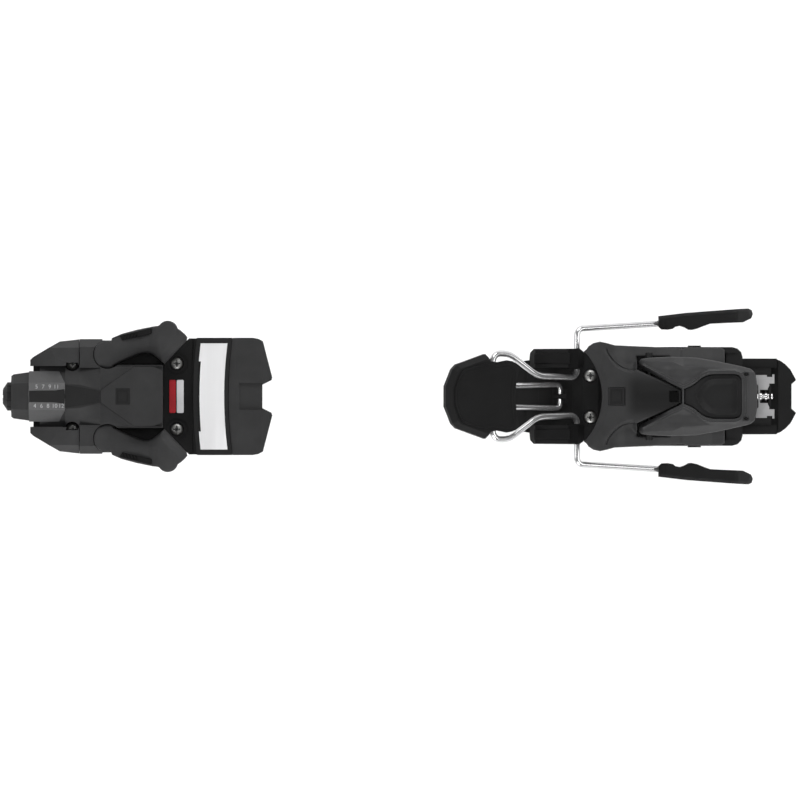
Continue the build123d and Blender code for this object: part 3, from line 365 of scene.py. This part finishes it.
def relief(
    name, material, outline, top, floor, holes=(), creases=(), pitch=1.0, rounding=1.0, left=False,
    placing=None, sharp=CREASE_ANGLE,
):
    """A closed piece over a plan outline.

    top and floor give its heights from the places, n of (x, y), and their distances to the nearest edge.
    """
    loops = [spaced(loop, pitch, True) for loop in (outline, *holes)]
    lines = [spaced(line, pitch, False) for line in creases]
    points, edges = [], []
    for loop in loops:
        first, count = len(points), len(loop)
        points += [tuple(point) for point in loop]
        edges += [(first + k, first + (k + 1) % count) for k in range(count)]
    for line in lines:
        first = len(points)
        points += [tuple(point) for point in line]
        edges += [(first + k, first + k + 1) for k in range(len(line) - 1)]

    def edge_distance(places):
        return np.min([away(places, loop, True) for loop in loops], axis=0)

    def on_piece(places):
        inside = within(places, loops[0])
        for hole in loops[1:]:
            inside &= ~within(places, hole)
        return inside

    field = []
    for loop in loops:
        run = np.roll(loop, -1, 0) - np.roll(loop, 1, 0)
        length = np.maximum(np.linalg.norm(run, axis=1), 1e-9)
        normal = np.stack([-run[:, 1], run[:, 0]], 1) / length[:, None]
        for share in (0.2, 0.6, 1.0):
            for side in (1, -1):
                ring = loop + normal * side * share * rounding
                ring = ring[on_piece(ring)]
                field.append(ring[edge_distance(ring) > 0.9 * share * rounding])
    low, high = loops[0].min(0), loops[0].max(0)
    columns = np.arange(low[0], high[0], pitch)
    rows = np.arange(low[1], high[1], pitch)
    shifts = [0.5 * pitch * (k % 2) for k in range(len(rows))]
    grid = np.array([(x + shift, y) for shift, y in zip(shifts, rows) for x in columns])
    grid = grid[on_piece(grid)]
    grid = grid[edge_distance(grid) > rounding + 0.4 * pitch]
    field.append(grid)
    field = np.concatenate(field)
    for line in lines:
        field = field[away(field, line) > 0.35 * pitch]
    points += [tuple(point) for point in field]
    flat, _, triangles, *_ = delaunay_2d_cdt([Vector(point) for point in points], edges, [], 0, 0.0005)
    flat = np.array([tuple(point) for point in flat])
    triangles = np.array([tuple(triangle) for triangle in triangles])
    triangles = triangles[on_piece(flat[triangles].mean(1))]
    edge = edge_distance(flat)
    rim = np.clip(1 - edge / rounding, 0, 1)
    upper = top(flat, edge) - rounding * (1 - np.sqrt(1 - rim**2))
    lower = np.minimum(floor(flat, edge), upper - THINNEST)
    side = -1 if left else 1
    count = len(flat)
    vertices = [(x, side * y, z) for (x, y), z in zip(flat, upper)]
    vertices += [(x, side * y, z) for (x, y), z in zip(flat, lower)]
    faces = [tuple(int(k) for k in triangle) for triangle in triangles]
    met = {}
    for a, b, c in faces:
        for pair in ((a, b), (b, c), (c, a)):
            met.setdefault(tuple(sorted(pair)), []).append(pair)
    walls = [pairs[0] for pairs in met.values() if len(pairs) == 1]
    faces += [(c + count, b + count, a + count) for a, b, c in faces]
    faces += [(b, a, a + count, b + count) for a, b in walls]
    return finish_mesh(name, vertices, faces, material, placing, sharp)


# ---------------------------------------------------------------- cutters


def between(first, last):
    """A cutter: the straight-sided solid between two rings of points."""
    count = len(first)
    faces = [tuple(range(count)), tuple(range(count, 2 * count))]
    faces += [(k, (k + 1) % count, count + (k + 1) % count, count + k) for k in range(count)]
    return finish_mesh("cutter", [*first, *last], faces, BLACK)


def prism(points, low, high):
    """A cutter over a plan outline."""
    return between([(x, y, low) for x, y in points], [(x, y, high) for x, y in points])


def box_outline(front, rear, half):
    """The plan outline of a rectangle about the middle line."""
    return [(front, -half), (rear, -half), (rear, half), (front, half)]


def bore(radius, y, z, front, rear, steps=40):
    """A cutter: a round bar along x."""
    turns = np.linspace(0, math.tau, steps + 1)[:-1]
    ring = [(y + radius * math.cos(turn), z + radius * math.sin(turn)) for turn in turns]
    return between([(front, a, b) for a, b in ring], [(rear, a, b) for a, b in ring])


def cut(piece, cutter):
    """Takes the cutter out of the piece for good."""
    away_with = piece.modifiers.new("cut", "BOOLEAN")
    away_with.operation = "DIFFERENCE"
    away_with.solver = "EXACT"
    away_with.object = cutter
    graph = bpy.context.evaluated_depsgraph_get()
    mesh = bpy.data.meshes.new_from_object(piece.evaluated_get(graph))
    piece.modifiers.clear()
    piece.data = mesh
    bpy.data.objects.remove(cutter)
    mesh.set_sharp_from_angle(angle=math.radians(CREASE_ANGLE))


# ---------------------------------------------------------------- heel housing
LIP_CENTRE, LIP_RADIUS = (286.9, 0), 46.3
BADGE_X, BADGE_HALF, BADGE_RISE, BADGE_Z, BADGE_DEPTH, SEAT_GAP = 343.4, 6.1, 7 / 15, 59.35, 0.95, 0.3
SPRING_Z, BORE = 38.0, 8.7
BOOT_CENTRE, BOOT_RADIUS, CUP_ROOF, BELOW_SHELL = (311, 0), 34.3, 49, 10
TREADLE_HALF = 20.4
GROOVE_STEP, GROOVE_DEPTH, GROOVE_WIDTH = 0.55, 1.6, 0.5
HUMP_WIDER, HUMP_INNER, HUMP_OUTER = 6.0, 3.0, -4.0  # extra half width under the lever, and its soft border
TIP_START, TIP_END, HUMP_END = 376, 380, 388.6
SIDE_FALL, REAR_FALL = 6.0, 1.2
HOLLOW_DEPTH, HOLLOW_WIDTH = 3.0, 9.0
LIP_BAND, LIP_FALL = 5.5, 1.6
lip = arc(LIP_CENTRE, LIP_RADIUS, 0, 42, 14)
housing_edge = both_sides([
    *lip, (324.0, 35.0), (327.4, 37.2), (331.8, 38.2), (336.5, 37.2), (342, 35.7), (352, 35.2), (368, 34.6),
    (380, 33.7), (390, 33.4), (393, 34.3), (416.4, 34.0), (418.8, 32.6), (418.8, 0),
])
shoulder = [
    (336.4, 32.8), (337.2, 30.2), (338.8, 27.6), (341.2, 24.6), (344.3, 21.8), (347.4, 19.9), (351, 18.8),
    (356, 18.6),
]
pocket = [(357.4, 18.7), (357.4, 27.8), (380.4, 27.8), (387.2, 6.2), (386.2, 5.4)]
deck = heights([(321, 52.0), (333, 54.2), (349, 53.6), (372, 48.4), (392, 47.4), (410, 47.2), (418.8, 44.6)])
hump = heights([
    (333, 54.4), (338, 56.8), (343, 59.2), (346, 60.5), (349, 61.5), (352, 62.3), (356, 63.2),
    (361, 64.2), (388, 69.0), (HUMP_END, 47.5), (419, 44.6),
])
hump_half = heights([
    (333, 34), (336.4, 32.8), (338.8, 27.8), (344.3, 21.8), (351, 18.8), (358, 18.6), (387.6, 5.0),
])
rim_under = heights([
    (321, 40), (323, 33), (329, 24.1), (337, 24.1), (337.3, 15), (343, 12.9), (398, 12.9), (406, 16),
    (409.3, 24), (418.8, 34),
])
cheek_under = heights([
    (359.5, 12.9), (360.5, 20.8), (381.8, 32.9), (392.6, 36.6), (398, 37.9), (403, 36.6), (406.6, 34.6),
    (421, 37.2),
])
CHEEK_INNER = 30.1


def housing_top(places, edge):
    """The deck with the hump under the lever, the groove at its shoulder and the seat of the badge."""
    x, y = places[:, 0], np.abs(places[:, 1])
    to_tip = ease(x, TIP_START, TIP_END)
    inside = hump_half(x) - y + HUMP_WIDER * ease(x, 354, 359) * (1 - to_tip)
    blend = 1 - 0.9 * to_tip
    height = deck(x) + (hump(x) - deck(x)) * ease(inside, HUMP_OUTER * blend, HUMP_INNER * blend)
    side_fall = SIDE_FALL * ease(y, 19, 37) ** 1.4 * ease(x, 328, 345)
    groove = GROOVE_DEPTH * bump(away(np.stack([x, y], 1), shoulder), GROOVE_WIDTH)
    hollow = HOLLOW_DEPTH * bump(y, HOLLOW_WIDTH) * ease(x, 349, 361) * (1 - ease(x, 381, 388))
    lip_fall = LIP_FALL * ease(LIP_RADIUS + LIP_BAND - np.hypot(x - LIP_CENTRE[0], y), 0, 5)
    height = height - side_fall - groove - hollow - lip_fall
    seat = (np.abs(x - BADGE_X) < BADGE_HALF) & (y < BADGE_HALF + SEAT_GAP)
    height = np.where(seat, BADGE_Z + (x - BADGE_X) * BADGE_RISE - BADGE_DEPTH, height)
    return np.where(x > HUMP_END, height - REAR_FALL * ease(y, 24, 34), height)


def housing_floor(places, edge):
    """The underside, raised at the lip, at the rear and along the outer sides."""
    x, y = places[:, 0], np.abs(places[:, 1])
    return np.where(y > CHEEK_INNER, np.maximum(rim_under(x), cheek_under(x)), rim_under(x))


def mirrored(points):
    """A line's image on the other side."""
    return [(x, -y) for x, y in reversed(points)]


def beside(points, gap):
    """The same line, moved outward and rearward."""
    return [(x + gap, y + gap) for x, y in points]


def badge_frame(grow):
    """The outline of the badge's seat."""
    along, across = BADGE_HALF + grow, BADGE_HALF + SEAT_GAP + grow
    corners = box_outline(BADGE_X - along, BADGE_X + along, across)
    return corners + corners[:1]


grooves = [shoulder, beside(shoulder, GROOVE_STEP), beside(shoulder, -GROOVE_STEP)]
housing = relief(
    "housing_shell", HOUSING, housing_edge, housing_top, housing_floor, holes=[pocket, mirrored(pocket)],
    creases=[badge_frame(0.02), badge_frame(-0.25), *grooves, *[mirrored(line) for line in grooves]],
    pitch=1.1, rounding=1.5,
)
cut(housing, bore(BORE, 0, SPRING_Z, 349, 425))
cut(housing, prism(arc(BOOT_CENTRE, BOOT_RADIUS, 0, 350, 36), BELOW_SHELL, CUP_ROOF))
for front, rear, half, low, high in (
    (330, 350, TREADLE_HALF, BELOW_SHELL, 24.1),  # room for the treadle
    (386.5, 404, 3.3, 44, 60),  # slot of the release indicator
    (379.8, 386.4, 4.0, 58, 75),  # dark window in front of the lever's tip
):
    cut(housing, prism(box_outline(front, rear, half), low, high))
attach(housing, "heel")
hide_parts("heel_housing")

# Floor of the lever's two pockets, inside the shell.
pocket_floor = relief(
    "pocket_floor", DARK, both_sides([(352, 0), (352, 29.2), (385, 29.2), (390, 12), (390, 0)]),
    level(42.6), level(40.0), pitch=4,
)
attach(pocket_floor, "heel")

# ---------------------------------------------------------------- heel lever
LEVER_TIP = (388.5, 5.3)
RIDGE_HEIGHT, RIDGE_WIDTH = 2.3, 0.8
SPOON_DEPTH, SPOON_WALL = 4.4, 0.7
FLANK_SLOPE, FLANK_HOLLOW, ROLL_HEIGHT = 0.9, 2.4, 0.5
lever_top = heights([
    (358, 52.4), (362, 57.3), (372, 62.5), (388.5, 70.2), (432, 85.8), (435, 86.4), (440.6, 85.2),
])
lever_under = heights([(358, 46.0), (361, 44.6), (370, 45.2), (378, 53.6), (388, 60), (442.6, 80.5)])
spoon = both_sides([
    (389.8, 0), (389.8, 5.4), (394.2, 7.2), (398.0, 9.6), (401.8, 12.8), (405.6, 14.9), (410.8, 15.9),
    (424.6, 15.9), (427.9, 15.0), (429.7, 12.8), (430.0, 9.6), (430.0, 0),
])
bowl = both_sides([
    (398, 0), (400.5, 5.0), (403.8, 8.8), (407.2, 11.2), (411.4, 12.2), (423.8, 12.2), (426.2, 11.0),
    (426.9, 8.4), (426.9, 0),
])
lever_half = [
    (360.6, 19.4), (359.0, 21.4), (358.8, 24.0), (360.4, 26.2), (366, 27.0), (380, 27.6), (398, 27),
    (410, 25.0), (419.9, 23.0), (431.0, 20.5), (435.8, 19.2), (438.4, 16.9), (439.9, 12.8), (440.5, 7.0),
    (440.6, 0),
]
lever_edge = [*both_sides(lever_half), (LEVER_TIP[0], -LEVER_TIP[1]), LEVER_TIP]
OVAL_CENTRE, OVAL_RADII = (432.8, 15.4), (1.7, 1.2)
oval = [
    (OVAL_CENTRE[0] + OVAL_RADII[0] * math.cos(turn), OVAL_CENTRE[1] + OVAL_RADII[1] * math.sin(turn))
    for turn in np.linspace(0, math.tau, 17)[:-1]
]
v_ridge = [
    (361.6, 21.6), (389.4, 7.4), (394.6, 9.8), (399.0, 13.0), (403.0, 16.2), (407.4, 17.9), (425.0, 17.9),
    (429.6, 16.2), (431.8, 12.6), (432.1, 0),
]
flank_line = [(366, 24.4), (382.5, 24.0), (389.5, 20.9), (400, 20.6), (416, 19.4), (430.0, 18.2)]
brow = heights([
    (358, 25), (366, 24.4), (382.5, 24.0), (389.5, 20.9), (400, 20.6), (416, 19.6), (431.7, 17.6), (443, 16),
])


def upper_half(outline):
    """The points of an outline on the +Y side."""
    return [(x, y) for x, y in outline if y >= 0]


def lever_height(places, edge):
    """The lever's back, with a raised line round its pad and forward as a V, and a hollow beside it."""
    x, y = places[:, 0], np.abs(places[:, 1])
    side = np.stack([x, y], 1)
    flank_fall = FLANK_SLOPE * np.clip(y - brow(x), 0, None)
    ridge = RIDGE_HEIGHT * bump(away(side, v_ridge), RIDGE_WIDTH)
    hollow = FLANK_HOLLOW * ease(y, 8, 14) * (1 - ease(y, 18, 22.5))
    hollow = hollow * ease(x, 370, 382) * (1 - ease(x, 394, 408))
    to_spoon = away(side, upper_half(spoon))
    sunk = SPOON_DEPTH * np.where(within(places, spoon), ease(to_spoon, 0.0, SPOON_WALL), 0)
    rear_roll = ROLL_HEIGHT * bump(x - 436.6, 2.6) * (1 - ease(y, 15, 19))
    return lever_top(x) - flank_fall + ridge - hollow - sunk + rear_roll


lever = relief(
    "lever_shell", LEVER, lever_edge, lever_height, lambda places, edge: lever_under(places[:, 0]),
    holes=[oval, [(x, -y) for x, y in oval]],
    creases=[spoon + spoon[:1], flank_line, mirrored(flank_line), v_ridge, mirrored(v_ridge[:-1])],
    pitch=0.9, rounding=1.0,
)
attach(lever, "lever")
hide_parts("heel_lever")

THUMB_SINK, THUMB_RIM, BOWL_DEPTH, THUMB_FLOOR = 1.3, 0.9, 2.0, 5.4


def thumb_height(places, edge):
    """The thumb pad: a second rim inside the lever's own, round a shallow bowl."""
    side = np.stack([places[:, 0], np.abs(places[:, 1])], 1)
    to_bowl = away(side, upper_half(bowl))
    height = lever_top(places[:, 0]) - THUMB_SINK + THUMB_RIM * bump(to_bowl, THUMB_RIM)
    return height - np.where(within(places, bowl), BOWL_DEPTH * ease(to_bowl, 0.3, 4.5), 0)


thumb_edge = [(x * 0.985 + 6.2, y * 0.955) for x, y in spoon]  # the spoon's outline, a little smaller
thumb_pad = relief(
    "thumb_pad", SPOON, thumb_edge, thumb_height, lambda places, edge: lever_top(places[:, 0]) - THUMB_FLOOR,
    creases=[bowl + bowl[:1]], pitch=0.8, rounding=0.7,
)
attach(thumb_pad, "lever")
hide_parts("lever_insert")

# ---------------------------------------------------------------- brake pedal
TREAD_TOP, TREAD_FLOOR = 4.9, 3.3
LINE_INSET, LINE_DEPTH, LINE_WIDTH = 1.9, 0.5, 0.5
PEDAL_TILT = math.radians(20)
PEDAL_ORIGIN = Vector((256.882, 0, 53.775)) * MM
pedal_place = Matrix.Translation(PEDAL_ORIGIN) @ Matrix.Rotation(PEDAL_TILT, 4, "Y")
tread_edge = softened(both_sides([
    (-29.3, 0), (-29.3, 5.8), (-25.3, 15.9), (-22.4, 18.6), (-13.0, 21.3), (-5.8, 22.9), (-3.0, 21.9),
    (2.4, 21.7), (9.0, 22.9), (13.2, 22.0), (16.5, 19.0), (15.2, 11.0), (14.0, 0),
]), 2, 0.22)


def tread_top(places, edge):
    """Flat and smooth, with a shallow line just inside its edge."""
    return TREAD_TOP - LINE_DEPTH * bump(edge - LINE_INSET, LINE_WIDTH)


tread = relief(
    "tread_rubber", RUBBER, tread_edge, tread_top, level(TREAD_FLOOR), pitch=0.8, rounding=0.7,
    placing=pedal_place,
)
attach(tread, "pedal")
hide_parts("pedal_tread")

# ---------------------------------------------------------------- numerals on the release scale
SCALE_Z, FIGURE_SIZE, FIGURE_DEPTH = 36.02, 0.0040, 0.00004
FIGURE_Y, FIGURE_PITCH = 6.7, 4.6


def numerals(name, words, start, y):
    """Small pale numbers lying on the window."""
    for k, word in enumerate(words.split()):
        data = bpy.data.curves.new(f"{name}_{word}", "FONT")
        data.body = word
        data.size = FIGURE_SIZE
        data.extrude = FIGURE_DEPTH
        data.align_x = "CENTER"
        data.align_y = "CENTER"
        figure = bpy.data.objects.new(f"{name}_{word}", data)
        figure.location = ((start + k * FIGURE_PITCH) * MM, y * MM, SCALE_Z * MM)
        bpy.context.collection.objects.link(figure)
        bpy.context.view_layer.update()
        mesh = bpy.data.meshes.new_from_object(figure)
        mesh.transform(figure.matrix_world)
        mesh.materials.clear()
        mesh.materials.append(FADED)
        printed = bpy.data.objects.new(f"scale_{name}_{word}", mesh)
        bpy.data.objects.remove(figure)
        bpy.context.collection.objects.link(printed)
        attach(printed, "base")


numerals("upper", "5 7 9 11", -61.0, FIGURE_Y)
numerals("lower", "4 6 8 10 12", -62.2, -FIGURE_Y)

# ---------------------------------------------------------------- bars on the toe label
BAR_HALF, BAR_CORNER, BAR_LOW, BAR_HIGH = 11.6, 0.6, 10.1, 10.62


def bar(name, material, x, half_x):
    """A small printed bar across the label, with its corners cut."""
    side, end = half_x - BAR_CORNER, BAR_HALF - BAR_CORNER
    outline = [
        (x - half_x, -end), (x - side, -BAR_HALF), (x + side, -BAR_HALF), (x + half_x, -end),
        (x + half_x, end), (x + side, BAR_HALF), (x - side, BAR_HALF), (x - half_x, end),
    ]
    piece = relief(name, material, outline, level(BAR_HIGH), level(BAR_LOW), pitch=1.0, rounding=0.2)
    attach(piece, "base")


bar("label_red", RED, 33.4, 2.3)
bar("label_pale", PALE, 38.8, 2.5)

# ---------------------------------------------------------------- brake pads
AXLE = (316.3, 9.0)
DROP = math.tan(math.radians(33))
PAD_BEVEL, PAD_GROOVES, PAD_GROOVE = 2.2, (378.2, 429.4), 0.5
pad_outer = [
    (373.4, 56.1), (392, 58.4), (410.8, 59.9), (428.7, 61.3), (436.4, 61.7), (438.8, 60.6), (439.6, 57.8),
]
pad_inner = [
    (438.4, 54.8), (432.7, 52.0), (418.8, 51.4), (409.6, 50.9), (404.9, 49.2), (399.9, 47.2), (396.6, 46.5),
    (394.3, 46.7), (391.7, 48.2), (388.5, 49.3), (385.2, 48.7), (383.3, 47.2), (380.0, 46.6), (375.6, 46.8),
    (373.4, 48.6),
]
PAD_FRONT, PAD_SHIFT, PAD_STRETCH, PAD_WIDEN = 373, 0.5, 0.018, 1.005


def dropped(points):
    """The pad hangs below the deck, so it is a little larger than it looks from above."""
    return [(x + PAD_SHIFT + (x - PAD_FRONT) * PAD_STRETCH, y * PAD_WIDEN) for x, y in points]


pad_outer, pad_inner = dropped(pad_outer), dropped(pad_inner)
pad_upper = heights([
    (373, 6.6), (378, 8.0), (394, 8.6), (422, 10.6), (429.6, 10.4), (439, 3.0), (440, 2.0),
])
pad_lower = heights([(373, -6.6), (382, -7.8), (394, -11.4), (424, -14.3), (436, -13.0), (440, -8.0)])


def arm_height(x):
    """The height of the brake arm's wire at rest."""
    return AXLE[1] - (x - AXLE[0]) * DROP


def pad_top(places, edge):
    """The pad's upper face follows the arm, bevelled outside and with a groove near each end."""
    x = places[:, 0]
    outer_bevel = PAD_BEVEL * (1 - ease(away(places, pad_outer), 0.2, 2.4))
    front, rear = (bump(x - groove, PAD_GROOVE) for groove in PAD_GROOVES)
    return arm_height(x) + pad_upper(x) - outer_bevel - PAD_GROOVE * (front + rear)


def pad_bottom(places, edge):
    """The pad's lower face, which follows the arm too."""
    return arm_height(places[:, 0]) + pad_lower(places[:, 0])


for side in ("right", "left"):
    pad = relief(
        f"pad_{side}", BLACK, [*pad_outer, *pad_inner], pad_top, pad_bottom, pitch=0.9, rounding=0.9,
        left=side == "left",
    )
    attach(pad, "brake_arms")
    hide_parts(f"brake_pad_{side}")

# ---------------------------------------------------------------- wings
HUB, HUB_RADIUS = (-11.6, 29.3), 9.66
KNOB, KNOB_RADIUS = (30.5, 45.8), 7.0
wing_edge = [
    (-9.2, 38.6), (-8.4, 40.8), (-1.4, 43.8), (9.1, 46.6), (19.6, 48.7), (23.6, 49.2),
    *arc(KNOB, KNOB_RADIUS, 148, 14, 14), (39.2, 46.2), (42.2, 43.6), (44.0, 41.4), (43.4, 38.8),
    (28.9, 23.6), (28.0, 22.9), (23.1, 26.9), (20.4, 29.2), (17.0, 30.4), (13.8, 30.4), (10.0, 29.5),
    (-2.8, 24.1), (-7.6, 21.4),
    *arc(HUB, HUB_RADIUS, 294, 76, 26),
]
grip_seat = [(-3.4, 42.3), (19.2, 47.8), (19.6, 43.8), (-1.2, 38.8), (-3.4, 42.3)]
wing_upper = heights([
    (-22, 32.8), (-4, 33.6), (10, 35.8), (17.5, 37.8), (24, 43.2), (30, 44.4), (43, 45.4), (45, 44.8),
])
wing_under = heights([(-22, 10.3), (-1, 10.3), (2, 12.5), (24, 12.5), (27, 19), (46, 19)])
ridge_line = heights([(-12, 29.3), (-2.8, 31.0), (10.0, 35.6), (18.0, 37.0), (24.0, 36.6), (45.0, 43.0)])
TAIL_MIDDLE, DIAGONAL, TAIL_SLOPE = (36.0, 30.6), 0.707, 0.55
SEAT_FLOOR, SEAT_BORDER = 32.3, 0.12
DOME_HEIGHT, DOME_MARGIN, KNOB_GROOVE = 0.9, 1.5, 0.45
RIDGE_HALF, RIDGE_SLOPE = 1.5, 0.22
inner_seat = [(-2.9, 42.1), (18.9, 47.4), (19.2, 44.1), (-1.1, 39.2), (-2.9, 42.1)]


def wing_top(places, edge):
    """The wing's back: domed over the knob, falling off its ridge, and sunk where the grip sits."""
    x, y = places[:, 0], places[:, 1]
    to_knob = np.hypot(x - KNOB[0], y - KNOB[1])
    dome = DOME_HEIGHT * np.clip(1 - (to_knob / (KNOB_RADIUS + DOME_MARGIN)) ** 2, 0, 1)
    groove = KNOB_GROOVE * bump(to_knob - KNOB_RADIUS - 0.4, 0.6) * ease(x, 32, 36)
    off_ridge = np.clip(np.abs(y - ridge_line(x)) - RIDGE_HALF, 0, None)
    ridge_fall = RIDGE_SLOPE * off_ridge * ease(x, -4, 8) * (1 - ease(x, 30, 40))
    toward_ski = (x - TAIL_MIDDLE[0]) * DIAGONAL - (y - TAIL_MIDDLE[1]) * DIAGONAL
    tail_fall = TAIL_SLOPE * np.clip(toward_ski + 6.5, 0, None) * ease(x, 24, 30)
    height = wing_upper(x) + dome - groove - ridge_fall - tail_fall
    in_seat = within(places, grip_seat[:-1]) & (away(places, grip_seat) > SEAT_BORDER)
    return np.where(in_seat, SEAT_FLOOR, height)


for side in ("right", "left"):
    wing = relief(
        f"wing_shell_{side}", WING, wing_edge, wing_top, lambda places, edge: wing_under(places[:, 0]),
        creases=[grip_seat, inner_seat], pitch=0.95, rounding=1.5, left=side == "left",
    )
    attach(wing, f"{side}_wing")
    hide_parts(f"wing_{side}")

# ---------------------------------------------------------------- dark centre strip over the window
strip = relief(
    "window_strip", DARK, both_sides([(-66.2, 0), (-66.2, 4.0), (-48.0, 4.2), (-41.6, 5.2), (-41.2, 0)]),
    level(36.14), level(35.6), pitch=2, rounding=0.1,
)
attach(strip, "base")

# ---------------------------------------------------------------- dark inlays: painted shade in the screws' cross recesses
SCREW_RADIUS = 4.65
ARMS = ((2.5, 0.5), (1.6, 0.28))  # reach and half width of the long and the short arms
VALLEY = 0.75  # radius between two arms
SHADE_INLAY_SINK, SHADE_INLAY_DEPTH = 0.9, 0.8


def cross_outline(x, y):
    """Four long and four short arms about a screw's middle."""
    points = []
    for k in range(8):
        reach, half = ARMS[k % 2]
        turn, lean = math.radians(45 * k), math.asin(half / reach)
        corners = ((reach, turn - lean), (reach, turn + lean), (VALLEY, turn + math.radians(22.5)))
        points += [(x + radius * math.cos(angle), y + radius * math.sin(angle)) for radius, angle in corners]
    return points


def recess_shade_inlays(node, columns):
    """One dark inlay in each screw of a node whose screws stand at the corners of its box, painting the
    shade in its cross recess.
    """
    low, high = [[value / MM for value in corner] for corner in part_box(node)]
    top = high[2] - SHADE_INLAY_SINK
    for column in range(columns):
        x = (low[0] + SCREW_RADIUS, high[0] - SCREW_RADIUS)[column]
        for side, y in (("right", low[1] + SCREW_RADIUS), ("left", high[1] - SCREW_RADIUS)):
            # A dark cross that paints the shade at the bottom of the recess.
            shade_inlay = relief(
                f"{node}_recess_{column}_{side}", PIN, cross_outline(x, y), level(top),
                level(top - SHADE_INLAY_DEPTH), pitch=1.0, rounding=0.05,
            )
            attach(shade_inlay, "base")


recess_shade_inlays("toe_screws", 2)
recess_shade_inlays("heel_screws_front", 1)

# ---------------------------------------------------------------- finishes of the CAD nodes
finishes = {
    PIN: "lever_pin housing_pivot_pin",
    CHARCOAL: "toe_housing toe_cover wing_right wing_left heel_housing heel_lever toe_rear_block",
    WING: "front_fairing_right front_fairing_left",
    DARK: "toe_ridge_cap heel_carriage afd_carrier toe_release_screw lever_insert toe_badge heel_badge",
    BLACK: "toe_base heel_track brake_base brake_keeper brake_pedal brake_pad_right brake_pad_left "
           "heel_treadle toe_indicator heel_indicator heel_release_screw toe_label",
    RUBBER: "wing_grip_right wing_grip_left tower_cap_right tower_cap_left pedal_tread",
    CHROME: "brake_wire_right brake_wire_left brake_link forward_pressure_screw",
    SATIN: "afd_plate toe_piston heel_plunger",
    STAMPED: "forward_pressure_plate",
    ZINC: "toe_screws heel_screws_front heel_screws_rear wing_pin_right wing_pin_left",
    SPRING: "toe_spring heel_spring",
    SMOKE: "toe_window",
}


SOFT_EDGE, FLAT_ANGLE, EDGE_ANGLE = 0.0007, 1.0, 28


def dress(node, material):
    """Gives a CAD node its material and soft edges."""
    piece = nodes[node]
    piece.data.materials.clear()
    piece.data.materials.append(material)
    flat = piece.modifiers.new("flat", "DECIMATE")
    flat.decimate_type = "DISSOLVE"
    flat.angle_limit = math.radians(FLAT_ANGLE)
    edges = piece.modifiers.new("edges", "BEVEL")
    edges.width = SOFT_EDGE
    edges.segments = 2
    edges.limit_method = "ANGLE"
    edges.angle_limit = math.radians(EDGE_ANGLE)
    edges.harden_normals = False
    smooth = piece.modifiers.new("weighted", "WEIGHTED_NORMAL")
    smooth.keep_sharp = True


for material, names in finishes.items():
    for name in names.split():
        dress(name, material)

# ---------------------------------------------------------------- floor, light and camera
VIEW_X, VIEW_Y = 0.1925, -0.0025
VIEW_SIDE, VIEW_DISTANCE, SENSOR = 0.56, 10.0, 36
FLOOR, FLOOR_SIZE = -0.11, 3.4
SURROUND, HORIZON, SURROUND_FALL = 0.2, 1.0, 0.35


def lamp(name, spot, size, power):
    """A soft box that faces the middle of the binding."""
    light = bpy.data.lights.new(name, "AREA")
    light.size = size
    light.energy = power
    holder = bpy.data.objects.new(name, light)
    holder.location = spot
    holder.rotation_euler = (Vector((VIEW_X, 0, 0)) - Vector(spot)).to_track_quat("-Z", "Y").to_euler()
    bpy.context.collection.objects.link(holder)


def studio():
    """A pale floor, a surround that dims from the horizon up, and soft boxes above and on each side."""
    bpy.ops.mesh.primitive_plane_add(size=FLOOR_SIZE, location=(VIEW_X, 0, FLOOR))
    floor = bpy.context.object
    floor.name = "studio_floor"
    pale, shader, add, join = new_material("pale_floor")
    where = place(add, join)
    haze = add("ShaderNodeTexNoise", Scale=3.0, Detail=2.0)
    join(where, haze.inputs["Vector"])
    tint = ramp(add, (0.93, 0.93, 0.93), (0.96, 0.96, 0.96))
    join(haze.outputs["Fac"], tint.inputs["Fac"])
    join(tint.outputs["Color"], shader.inputs["Base Color"])
    shader.inputs["Roughness"].default_value = 0.9
    floor.data.materials.append(pale)
    floor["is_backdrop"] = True
    world = bpy.data.worlds.new("surround")
    bpy.context.scene.world = world
    world.use_nodes = True
    tree = world.node_tree
    sky = tree.nodes["Background"]
    sky.inputs["Color"].default_value = (1, 1, 1, 1)
    direction = tree.nodes.new("ShaderNodeTexCoord")
    parts = tree.nodes.new("ShaderNodeSeparateXYZ")
    fall = tree.nodes.new("ShaderNodeMapRange")
    fall.inputs["From Max"].default_value = SURROUND_FALL
    fall.inputs["To Min"].default_value = HORIZON
    fall.inputs["To Max"].default_value = SURROUND
    tree.links.new(direction.outputs["Generated"], parts.inputs["Vector"])
    tree.links.new(parts.outputs["Z"], fall.inputs["Value"])
    tree.links.new(fall.outputs["Result"], sky.inputs["Strength"])
    lamp("overhead", (VIEW_X, 0.1, 3.0), 0.5, 14)
    for name, spot, power in (
        ("near_side", (VIEW_X - 0.3, -2.3, 1.5), 56), ("far_side", (VIEW_X + 0.3, 2.3, 1.5), 56),
        ("toe_end", (VIEW_X - 2.2, 0.2, 1.6), 18), ("tail_end", (VIEW_X + 2.2, -0.2, 1.6), 22),
    ):
        lamp(name, spot, 1.5, power)


def camera():
    """Straight down from far above, with the toe piece at the left of the picture."""
    data = bpy.data.cameras.new("camera")
    data.sensor_width = SENSOR
    data.lens = SENSOR * VIEW_DISTANCE / VIEW_SIDE
    data.clip_end = 100
    eye = bpy.data.objects.new("camera", data)
    eye.location = (VIEW_X, VIEW_Y, VIEW_DISTANCE)
    bpy.context.collection.objects.link(eye)
    bpy.context.scene.camera = eye


studio()
camera()
bpy.context.scene.view_settings.view_transform = "Standard"

low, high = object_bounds()
